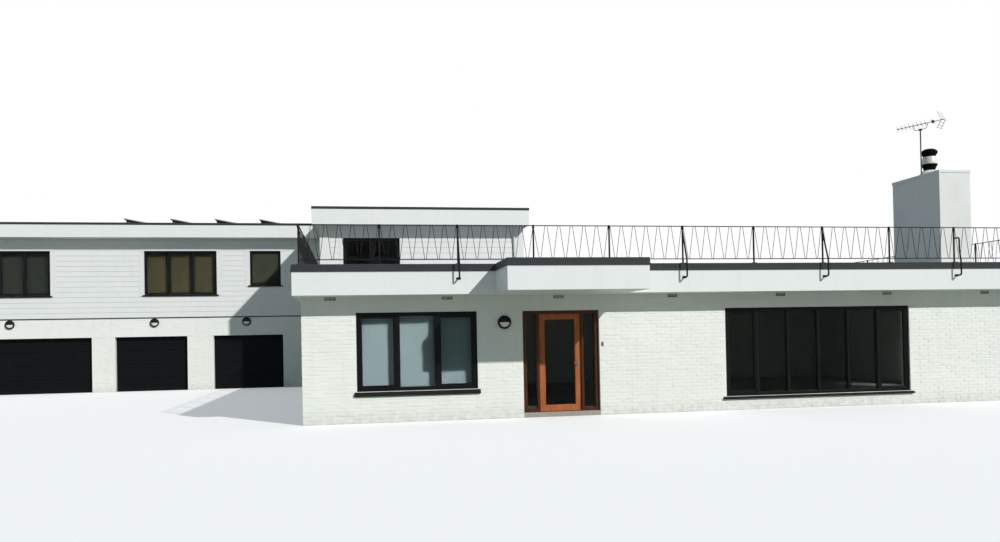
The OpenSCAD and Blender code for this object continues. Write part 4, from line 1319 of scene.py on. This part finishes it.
@dataclass
class Entrance:
    """The timber door set with its glass, beads and handle, the bell and the wall lamps.

    A lamp is given as x, y, z and its size, and a lamp's profiles and hood are shares of its size.
    """

    lamps: tuple = ((4.058, 0.0, 1.972, 0.277), (-10.585, WING_Y, 2.40, 0.30),
                    (-5.903, WING_Y, 2.40, 0.30), (-2.788, WING_Y, 2.40, 0.30))
    rim: tuple = ((0, 0), (0.5, 0), (0.5, 0.16), (0.485, 0.2), (0.455, 0.235), (0.42, 0.245),
                  (0.385, 0.235), (0.37, 0.2), (0.37, 0.12), (0, 0.12))
    lens_r: float = 0.372
    lens_back: float = 0.118
    lens_out: tuple[float, float] = (0.175, 0.085)
    louvres: int = 6
    hood_r: float = 0.40
    hood_step: float = 0.062
    hood_out: tuple[float, float] = (0.20, 0.095)
    hood_thick: float = 0.012
    side_lights: tuple = ((4.525, 4.745, 0.17, 2.138), (5.745, 5.985, 0.17, 2.138))
    side_bead: float = 0.015
    side_depths: tuple[Triple, Triple] = ((-0.112, -0.094, -0.102), (-0.148, -0.135, -0.135))
    leaf_glass: Rect = (4.91, 5.58, 0.222, 2.028)
    leaf_bead: float = 0.016
    leaf_depths: tuple[Triple, Triple] = ((-0.112, -0.092, -0.101), (-0.15, -0.133, -0.133))
    lock_at: tuple[float, float] = (5.6325, 0.985)
    lock_faces: tuple = ((0.096, OUT), (0.148, INWARD))
    lock_profile: tuple = ((0, 0), (0.014, 0), (0.014, 0.008), (0.011, 0.010), (0, 0.010))
    casing: tuple = ((4.443, 4.521, 0.103, 2.197), (5.989, 6.067, 0.103, 2.197),
                     (4.523, 5.987, 2.152, 2.197))
    casing_back: float = 0.06
    casing_out: float = 0.006
    strip: Rect = (4.803, 5.687, 0.062, 0.09)
    strip_h: float = 0.0085
    floor_z: float = 0.1
    lap: float = 0.001
    edge: float = 0.002

    def hood(self, shell: Shell, at: Array, size: float) -> None:
        """Adds the hood over the upper half of a lamp's lens: louvres stepped towards its middle.

        Louvre k lies between the radii 0.40 - 0.062 k and 0.40 - 0.062 (k + 1), and at the radius r
        it stands 0.20 + 0.095 sqrt(1 - (r / 0.40)^2) out.

        Args:
            shell: the piece that it becomes part of.
            at: the middle of the lamp's back.
            size: the lamp's size.
        """
        a = np.linspace(0, math.pi, 17)
        n, i = len(a), np.arange(len(a) - 1)
        radii = self.hood_r - self.hood_step * np.arange(self.louvres + 1)
        outs = self.hood_out[0] + self.hood_out[1] * np.sqrt(1 - (radii / self.hood_r) ** 2)
        sides = [np.stack([p * n + i, q * n + i, q * n + i + 1, p * n + i + 1], 1)
                 for p, q in ((1, 0), (2, 1), (3, 2), (0, 3))]
        ends = np.array([[0, n, 2 * n, 3 * n], [4 * n - 1, 3 * n - 1, 2 * n - 1, n - 1]])
        for k in range(self.louvres):
            edges = [(radii[m], outs[m] - back) for m, back in (
                (k, 0.0), (k + 1, 0.0), (k + 1, self.hood_thick), (k, self.hood_thick))]
            ring = [np.stack([r * np.cos(a), np.full(n, -w), r * np.sin(a)], 1) for r, w in edges]
            shell.add(at + size * np.concatenate(ring), np.concatenate([*sides, ends]))

    def bulkheads(self) -> None:
        """Turns each lamp's rim and domed lens, and adds its hood."""
        shell = Shell()
        share, (base, rise) = np.linspace(0, 1, 9), self.lens_out
        dome = np.stack([self.lens_r * np.cos(share * math.pi / 2),
                         base + rise * np.sin(share * math.pi / 2)], 1)
        lens = np.concatenate([[(0, self.lens_back), (self.lens_r, self.lens_back)], dome[:-1],
                               [(0, base + rise)]])
        for *at, size in self.lamps:
            shell.lathe(np.array(self.rim) * size, at, OUT, 40, 0)
            shell.lathe(lens * size, at, OUT, 40, 1)
            self.hood(shell, np.array(at), size)
        shell.piece("bulkhead_lamps", Finish.LAMP, Finish.LENS, smooth=35,
                    replaces=("wall_lamps",))

    def door_details(self) -> None:
        """Adds glazing beads, outer casings, a threshold strip and the lock; side-light beads and
        casings take the door timber darkened as painted shade.
        """
        face, lap = Wall.FRONT.value, self.lap * GROW
        beads, leaf, lock, casing, strip = (Shell() for _ in range(5))
        for shell, lights, bead, depths in (
                (beads, self.side_lights, self.side_bead, self.side_depths),
                (leaf, self.leaf_glass, self.leaf_bead, self.leaf_depths)):
            for sides in depths:
                shell.rings(face, lights + lap, lights - bead * GROW, sides)
        for y, out in self.lock_faces:
            lock.lathe(self.lock_profile, (self.lock_at[0], y, self.lock_at[1]), out, 20)
        casing.pads(face.moved(-self.casing_back), self.casing, self.casing_out, self.edge)
        strip.pads(level(self.floor_z), [self.strip], self.strip_h, self.edge)
        beads.piece("side_light_beads", Finish.DARK_TIMBER)
        leaf.piece("door_leaf_beads", Finish.TIMBER, body=LEAF)
        lock.piece("door_lock", Finish.STEEL, smooth=35, body=LEAF)
        casing.piece("door_outer_casing", Finish.DARK_TIMBER)
        strip.piece("door_threshold_strip", Finish.STEEL)

    def build(self) -> None:
        """Builds the lamps and details, and finishes the door set, the bell and the air bricks."""
        self.bulkheads()
        self.door_details()
        # Painted shade: the frame takes the darkened copy of the door timber.
        rounded_copy("door_frame", Finish.DARK_TIMBER, 0.003)
        rounded_copy("front_door", Finish.TIMBER, 0.003, LEAF)
        coat_nodes(Finish.GLASS, "front_door_glass")
        coat_nodes(Finish.STEEL, "door_handle")
        rounded_copy("doorbell", Finish.BELL, 0.003)
        coat_nodes(Finish.VENT, "air_bricks")


# ---- terrace railing


@dataclass
class RailingRun:
    """A straight railing: rails, posts with knobs, and a rod bent to and fro between the rails."""

    start: tuple[float, float]
    end: tuple[float, float]
    bays: int
    posts: range
    height: float = 0.77
    low: float = 0.092
    waves: int = 6
    top_half: float = 0.022
    foot_half: float = 0.014
    bend: float = 0.016
    rod: float = 0.011
    rail: Triple = (0.018, 0.018, 0.003)
    post: Triple = (0.030, 0.030, 0.004)
    post_lap: float = 0.01
    base: Triple = (0.09, 0.1, 0.006)
    base_h: float = 0.01
    knob_drop: float = 0.084
    knob: tuple = ((0, 0.0), (0.013, 0.002), (0.017, 0.012), (0.0215, 0.03), (0.024, 0.055),
                   (0.022, 0.078), (0.0155, 0.095), (0.008, 0.103), (0, 0.105))

    def wave(self, length: float) -> Array:
        """Bends the rod: flat tops 44 mm wide and flat feet 28 mm wide, with rounded corners.

        Args:
            length: the run's length.

        Returns:
            Points (along, up) of its middle line.
        """
        pitch = length / (self.bays * self.waves)
        i = np.arange(self.bays * self.waves + 1)[:, None]
        corner = np.array([-self.top_half, self.top_half, pitch / 2 - self.foot_half,
                           pitch / 2 + self.foot_half])[None]
        up = np.tile([self.height, self.height, self.low, self.low], len(i))
        points = np.stack([(i * pitch + corner).ravel(), up], 1)[1:-3]
        points[0, 0], points[-1, 0] = 0.0, length
        return rounded(points, self.bend, 3)

    def add(self, bars: Shell, rods: Shell) -> None:
        """Adds the run to two pieces.

        Args:
            bars: takes the rails and posts.
            rods: takes the bent rod and the knobs.
        """
        a, b = np.array((*self.start, TRIM_Z)), np.array((*self.end, TRIM_Z))
        length, up = float(np.linalg.norm(b - a)), np.array(UP, float)
        way = (b - a) / length
        across = tuple(np.cross(up, way))
        wave = self.wave(length)
        rods.sweep(a + wave[:, :1] * way + wave[:, 1:] * up, circle(self.rod / 2, 8), across)
        for z in (self.low, self.height):
            bars.sweep([a + z * up, b + z * up], bar_section(*self.rail), across)
        knob_z = self.height - self.knob_drop
        for k in self.posts:
            foot = a + way * length * k / self.bays
            for section, top in ((self.post, knob_z + self.post_lap), (self.base, self.base_h)):
                bars.sweep([foot, foot + top * up], bar_section(*section), across)
            rods.lathe(self.knob, foot + knob_z * up, UP, 20)


@dataclass
class Terrace:
    """The railing round the terrace, and the bent stays of its front."""

    y: float = -0.44
    left: float = -0.004
    split: float = 4.605
    right: float = 17.29
    rear: tuple[float, float] = (6.61, 10.49)
    wall_y: float = 10.03
    post_half: float = 0.015
    fascia_y: float = -0.5
    stay_d: float = 0.034
    stay_out: float = 0.15
    stay_bend: float = 0.045
    stay_lap: float = 0.004
    foot_z: float = 2.84
    foot_gap: float = 0.005
    lean: tuple[float, float] = (3.79, 3.18)
    hook: tuple[float, float, float] = (3.66, 3.4, 3.12)
    hook_y: float = -0.605
    plate: Triple = (0.09, 0.045, 0.004)
    plate_out: float = 0.008
    lap: float = 0.001
    bolt_x: float = 0.03
    bolt: tuple = ((0, 0), (0.009, 0), (0.009, 0.008), (0.006, 0.010), (0, 0.010))
    boss: tuple = ((0, -0.006), (0.017, -0.006), (0.0175, 0.0), (0.017, 0.006), (0, 0.006))

    def runs(self) -> dict[str, tuple[RailingRun, ...]]:
        """Lists the runs of each railing.

        Returns:
            The runs by the name of the CAD node that they stand for.
        """
        (rear_x, rear_y), y = self.rear, self.y
        side_y = y + self.post_half
        return {
            "front_railing": (RailingRun((self.left, y), (self.split, y), 3, range(0, 4)),
                              RailingRun((self.split, y), (self.right, y), 8, range(1, 9))),
            "side_railings": (
                RailingRun((self.left, side_y), (self.left, self.wall_y), 6, range(1, 7)),
                RailingRun((self.right, side_y), (self.right, rear_y - self.post_half), 7,
                           range(1, 7))),
            "rear_railing": (RailingRun((rear_x, rear_y), (self.right, rear_y), 7, range(0, 8)),)}

    def stays(self) -> None:
        """Bends each stay from its post down over the trim to a bolted plate on the fascia."""
        shell, foot_z = Shell(), self.foot_z
        front, out_y = self.y - self.post_half, self.fascia_y - self.stay_out
        foot = [(out_y, foot_z), (self.fascia_y - self.foot_gap, foot_z)]
        top_y = front + self.stay_lap
        leaning = [(top_y, self.lean[0]), (out_y, self.lean[1]), *foot]
        hooked = [(top_y, self.hook[0]), (self.hook_y, self.hook[0]),
                  (self.hook_y, self.hook[1]), (out_y, self.hook[2]), *foot]
        post_x = np.append(np.linspace(self.left, self.split, 4)[:3],
                           np.linspace(self.split, self.right, 9))
        plate_y = self.fascia_y - self.plate_out
        for index, path in ((2, leaning), (5, leaning), (7, leaning), (9, hooked)):
            x = post_x[index]
            shell.sweep(rounded([(x, *point) for point in path], self.stay_bend, 6),
                        circle(self.stay_d / 2, 14), ACROSS)
            shell.sweep([(x, self.fascia_y + self.lap, foot_z), (x, plate_y, foot_z)],
                        bar_section(*self.plate), ACROSS)
            for side in (-self.bolt_x, self.bolt_x):
                shell.lathe(self.bolt, (x + side, plate_y, foot_z), OUT, 6)
            shell.lathe(self.boss, (x, front - self.lap, path[0][1]), OUT, 14)
        shell.piece("stays_and_plates", Finish.IRON, smooth=35, replaces=("railing_stays",))

    def build(self) -> None:
        """Builds the runs and the stays."""
        for node, runs in self.runs().items():
            bars, rods = Shell(), Shell()
            for run in runs:
                run.add(bars, rods)
            bars.piece(f"{node}_bars", Finish.IRON, replaces=(node,))
            rods.piece(f"{node}_rods_and_knobs", Finish.IRON, smooth=35)
        self.stays()


# ---- chimney


@dataclass
class Aerial:
    """The television aerial, in axes of its own: x along the boom, y across it and z up.

    Their origin is the mast's head. Metal has slot 0, and plastic, the painted mast and the
    reflector's lower half slot 1; on that half the dark finish is painted shade.
    """

    mast_at: tuple[float, float] = (15.22, 2.0)
    mast_h: float = 1.18
    mast_d: float = 0.032
    yaw: float = math.radians(-65.0)
    boom_up: float = 0.13
    boom: Triple = (0.02, 0.02, 0.002)
    half: float = 0.6
    cradle: tuple = ((-0.19, 1), (-0.16, 0), (0.16, 0), (0.19, 1))
    cradle_d: float = 0.014
    cradle_bend: float = 0.05
    clamp: Triple = (0.06, 0.04, 0.004)
    clamp_half: float = 0.035
    clamp_z: float = -0.006
    tip: float = 0.02
    directors: int = 8
    director_gap: float = 0.102
    director_reach: float = 0.072
    director_d: float = 0.008
    seat: Triple = (0.03, 0.03, 0.004)
    seat_half: float = 0.012
    dipole_at: float = 0.322
    dipole: tuple = ((0, -0.03), (-0.15, -0.03), (-0.15, 0.03), (0.15, 0.03), (0.15, -0.03),
                     (0.001, -0.03))
    dipole_d: float = 0.010
    dipole_bend: float = 0.028
    box: Triple = (0.05, 0.06, 0.006)
    box_half: float = 0.035
    lean: float = math.radians(28)
    arm: tuple[float, float, float] = (0.09, 0.23, 0.010)
    reflectors: int = 4
    reflector_at: float = 0.012
    reflector_gap: float = 0.0687
    reflector: tuple[float, float] = (0.15, 0.008)
    shell: Shell = field(default_factory=Shell)

    def turned(self, points: Array | list | Triple) -> Array:
        """Turns rows (x, y, z) by the yaw, from the aerial's axes to the plan's."""
        c, s = math.cos(self.yaw), math.sin(self.yaw)
        return np.array(points, float) @ np.array([(c, s, 0), (-s, c, 0), (0, 0, 1)])

    def bar(self, path: Array | list, section: Array, ref: Triple, slot: int = 0) -> None:
        """Adds a bar along a path: see Shell.sweep. Path and ref are in the aerial's axes."""
        head = np.array((*self.mast_at, STACK_Z + self.mast_h))
        self.shell.sweep(head + self.turned(path), section, tuple(self.turned(ref)), slot)

    def boom_parts(self) -> None:
        """Adds the mast, the boom, and the cradle and clamp that join them."""
        up, half = self.boom_up, self.half
        self.bar([(0, 0, -self.mast_h), (0, 0, 0)], circle(self.mast_d / 2, 14), INWARD, 1)
        self.bar([(-half, 0, up), (half, 0, up)], bar_section(*self.boom), INWARD)
        cradle = rounded([(x, 0, high * up) for x, high in self.cradle], self.cradle_bend, 5)
        self.bar(cradle, circle(self.cradle_d / 2, 8), INWARD, 1)
        self.bar([(-self.clamp_half, 0, self.clamp_z), (self.clamp_half, 0, self.clamp_z)],
                 bar_section(*self.clamp), INWARD, 1)

    def elements(self) -> None:
        """Adds the crossed directors with their seats, and the folded dipole with its box."""
        up, reach, at = self.boom_up, self.director_reach, self.dipole_at
        for k in range(self.directors):
            x = -self.half + self.tip + k * self.director_gap
            for lean in (-1, 1):
                self.bar([(x, -reach * lean, up - reach), (x, reach * lean, up + reach)],
                         circle(self.director_d / 2, 8), ACROSS)
            self.bar([(x - self.seat_half, 0, up), (x + self.seat_half, 0, up)],
                     bar_section(*self.seat), INWARD, 1)
        loop = rounded([(at, y, up + z) for y, z in self.dipole], self.dipole_bend, 5)
        self.bar(loop, circle(self.dipole_d / 2, 8), ACROSS)
        self.bar([(at, 0, up - self.box_half), (at, 0, up + self.box_half)],
                 bar_section(*self.box), ACROSS, 1)

    def mesh_reflector(self) -> None:
        """Adds the two leaning halves of the reflector: a pair of arms with rods across each."""
        foot = np.array((self.half - self.tip, 0, self.boom_up))
        (arm_y, arm_length, arm_d), (rod_half, rod_d) = self.arm, self.reflector
        # Painted shade: the upper half takes the bright metal, and the lower half, the same metal,
        # the dark finish.
        for side, slot in ((1, 0), (-1, 1)):
            way = np.array((-math.sin(self.lean), 0, side * math.cos(self.lean)))
            for y in (-arm_y, arm_y):
                self.bar([foot + (0, y, 0), foot + (0, y, 0) + arm_length * way],
                         circle(arm_d / 2, 8), INWARD, slot)
            for k in range(self.reflectors):
                p = foot + (self.reflector_at + k * self.reflector_gap) * way
                self.bar([p - (0, rod_half, 0), p + (0, rod_half, 0)], circle(rod_d / 2, 8), ACROSS,
                         slot)

    def build(self) -> None:
        """Builds the aerial as one piece."""
        self.boom_parts()
        self.elements()
        self.mesh_reflector()
        self.shell.piece("aerial_finished", Finish.AERIAL, Finish.AERIAL_DARK, smooth=40,
                         replaces=("tv_aerial",))


@dataclass
class Chimney:
    """The rendered stack with its flashing, the mortar haunch and the cowl on it, and the aerial.

    The cowl's profiles are shares of its radius, and heights above the haunch's top.
    """

    haunch_h: float = 0.15
    haunch_r: tuple[float, float] = (0.281, 0.155)
    cowl_r: float = 0.195
    cowl_stretch: float = 1.074
    cowl_foot: tuple = ((0, 0), (0.7, 0), (0.7, 0.03), (0.76, 0.058), (0.96, 0.132), (0.975, 0.14),
                        (0.97, 0.148), (0, 0.148))
    cowl_band: tuple = ((0, 0.147), (0.94, 0.148), (0.965, 0.165), (0.965, 0.19), (0.94, 0.225),
                        (0.9, 0.26), (0.855, 0.295), (0.82, 0.324), (0, 0.324))
    cowl_head: tuple = ((0, 0.322), (0.7, 0.323), (0.7, 0.33), (0.985, 0.415), (1, 0.421),
                        (1, 0.452), (0.98, 0.46), (0.9, 0.47), (0.8, 0.487), (0.62, 0.508),
                        (0.3, 0.512), (0, 0.512))
    flashing_w: float = 0.12
    flashing_depths: Triple = (0.0, 0.008, 0.15)

    def cowl(self) -> None:
        """Turns the cowl, with a flared foot, a bright band and a brimmed head, and its haunch."""
        x0, x1, y0, y1 = STACK
        foot = ((x0 + x1) / 2, (y0 + y1) / 2, STACK_Z + self.haunch_h)
        cowl, haunch = Shell(), Shell()
        for profile, slot in ((self.cowl_foot, 0), (self.cowl_band, 1), (self.cowl_head, 0)):
            cowl.lathe(np.array(profile) * (self.cowl_r, self.cowl_stretch), foot, UP, 48, slot)
        cowl.piece("cowl_finished", Finish.COWL, Finish.BAND, smooth=40, replaces=("chimney_cowl",))
        (wide, narrow), low = self.haunch_r, -self.haunch_h - 0.001
        haunch.lathe([(0, low), (wide, low), (wide, low + 0.009), (narrow + 0.01, -0.006),
                      (narrow - 0.004, 0.001), (0, 0.001)], foot, UP, 40)
        haunch.piece("mortar_haunch", Finish.RENDER, smooth=30)

    def build(self) -> None:
        """Builds cowl, aerial and the lead flashing at the stack's foot, and finishes the stack."""
        self.cowl()
        Aerial().build()
        rounded_copy("chimney_stack", Finish.RENDER, 0.006)
        shell = Shell()
        shell.rings(level(ROOF_Z), STACK + self.flashing_w * GROW, STACK - 0.001 * GROW,
                    self.flashing_depths)
        shell.piece("chimney_flashing", Finish.TRIM)


# ---- garage


@dataclass
class Garage:
    """The three closed garage doors: sections with shallow ribs, and a lifting handle each."""

    panel_y: float = 0.18
    sections: int = 4
    ribs: int = 4
    rib_out: float = 0.007
    margin: float = 0.012
    joint: float = 0.006
    handle: Rect = (-0.07, 0.07, 0.42, 0.45)
    handle_out: tuple[float, float] = (0.006, 0.02)
    foot_gap: float = 0.002
    edge: float = 0.006

    def build(self) -> None:
        """Adds ribs and handles, and finishes the CAD panels."""
        shell, face = Shell(), Wall.GARAGE.value.moved(-self.panel_y)
        rise = GARAGE_DOOR_H / self.sections
        step = (rise - 2 * self.joint) / self.ribs
        feet = [k * rise + self.foot_gap + m * step for k in range(self.sections)
                for m in range(self.ribs)]
        for ends in GARAGE_DOORS:
            u0, u1 = face.span(*ends)
            shell.pads(face, [(u0 + self.margin, u1 - self.margin, v + self.joint,
                               v + step - self.joint) for v in feet], self.rib_out, self.edge)
            middle = np.array(((u0 + u1) / 2, (u0 + u1) / 2, 0, 0))
            lift, out = self.handle_out
            shell.pads(face.moved(lift), [middle + self.handle], out, self.edge)
        shell.piece("garage_door_ribs", Finish.GARAGE)
        coat_nodes(Finish.GARAGE, "garage_doors")


# ---- studio


@dataclass
class Studio:
    """The pale floor, plain light and the camera of the photograph."""

    camera_at: Triple = (1.0505, -16.6107, 1.6736)
    yaw: float = 0.173805
    pitch: float = 0.012328
    roll: float = 0.018997
    lens: float = 29.625
    sensor: float = 36.0
    shift_y: float = 0.0557
    sees_to: float = 400.0
    sun_from: Triple = (0.72, -1.0, 0.78)
    sun_strength: float = 3.1
    sun_angle: float = math.radians(1.0)
    sun_colour: Triple = (1.0, 0.985, 0.955)
    ambient: tuple[float, float, float, float] = (0.66, 0.84, 1.0, 1.0)
    ambient_strength: float = 0.30
    floor_reach: float = 160.0
    floor_seen: Triple = (0.80, 0.80, 0.80)
    floor_bounce: Triple = (0.30, 0.32, 0.26)
    floor_glow: float = 0.27

    def camera(self) -> None:
        """Sets the camera: its axes are turned by yaw and pitch, and then rolled."""
        angles = np.array((self.yaw, self.pitch, self.roll))
        (cy, cp, cr), (sy, sp, sr) = np.cos(angles), np.sin(angles)
        forward = np.array((sy * cp, cy * cp, sp))
        flat = np.array((cy, -sy, 0.0))
        top = np.cross(flat, forward)
        turned = np.stack([flat * cr - top * sr, top * cr + flat * sr, -forward], 1)
        data = bpy.data.cameras.new("camera")
        data.lens, data.sensor_width, data.shift_y = self.lens, self.sensor, self.shift_y
        data.clip_end = self.sees_to
        camera = linked("camera", data)
        camera.matrix_world = Matrix.Translation(Vector(np.array(self.camera_at) + ORIGIN)) \
            @ Matrix(turned.tolist()).to_4x4()
        bpy.context.scene.camera = camera

    def seen(self, t: Tree) -> Socket:
        """Tells what camera, mirror and glass show from light that a surface has scattered.

        Args:
            t: the tree that uses it.

        Returns:
            A socket that is 1 for the first and 0 for the second.
        """
        path = t.add("ShaderNodeLightPath").outputs
        direct = t.maths("ADD", t.maths("ADD", path["Is Camera Ray"], path["Is Glossy Ray"]),
                         path["Is Transmission Ray"])
        return t.maths("MULTIPLY", direct, t.maths("SUBTRACT", 1.0, path["Diffuse Depth"]))

    def floor(self) -> None:
        """Lays the pale floor, which camera, mirror and glass see paler than the walls do."""
        mesh, reach = bpy.data.meshes.new("studio_floor"), self.floor_reach
        mesh.from_pydata([(-reach, -reach, 0), (reach, -reach, 0), (reach, reach, 0),
                          (-reach, reach, 0)], [], [(0, 1, 2, 3)])
        floor = linked("studio_floor", mesh)
        material = bpy.data.materials.new("studio_floor")
        material.use_nodes = True
        t = Tree(material.node_tree)
        seen = self.seen(t)
        shader = t.add("ShaderNodeBsdfPrincipled", {
            "Base Color": t.mix(seen, (*self.floor_bounce, 1), (*self.floor_seen, 1)),
            "Roughness": 0.9, "Specular IOR Level": 0.1, "Emission Strength": self.floor_glow,
            "Emission Color": t.mix(seen, (0, 0, 0, 1), (1, 1, 1, 1))})
        t.add("ShaderNodeOutputMaterial", {"Surface": shader.outputs[0]})
        mesh.materials.append(material)

    def light(self) -> None:
        """Lights the house with one sun lamp and an even sky that camera and gloss see as white."""
        lamp = bpy.data.lights.new("key", "SUN")
        lamp.energy, lamp.angle, lamp.color = self.sun_strength, self.sun_angle, self.sun_colour
        sun = linked("key", lamp)
        sun.matrix_world = Vector(self.sun_from).to_track_quat("Z", "Y").to_matrix().to_4x4()
        world = bpy.data.worlds.new("studio")
        world.use_nodes = True
        t = Tree(world.node_tree)
        sky, white = (t.add("ShaderNodeBackground", {"Color": colour, "Strength": strength})
                      for colour, strength in ((self.ambient, self.ambient_strength),
                                               ((1, 1, 1, 1), 1.0)))
        mixed = t.add("ShaderNodeMixShader", {0: self.seen(t), 1: sky.outputs[0],
                                              2: white.outputs[0]})
        t.add("ShaderNodeOutputWorld", {"Surface": mixed.outputs[0]})
        bpy.context.scene.world = world

    def build(self) -> None:
        """Sets up camera, floor and light."""
        bpy.context.scene.view_settings.view_transform = "Standard"
        self.camera()
        self.floor()
        self.light()


def main() -> None:
    """Builds the house's surfaces in order."""
    logging.basicConfig(level=logging.INFO, format="%(name)s: %(message)s")
    for part in (Studio(), Walls(), Roofs(), Windows(), Entrance(), Terrace(), Chimney(), Garage()):
        LOG.info("building %s", type(part).__name__)
        part.build()


if __name__ == "__main__":
    main()
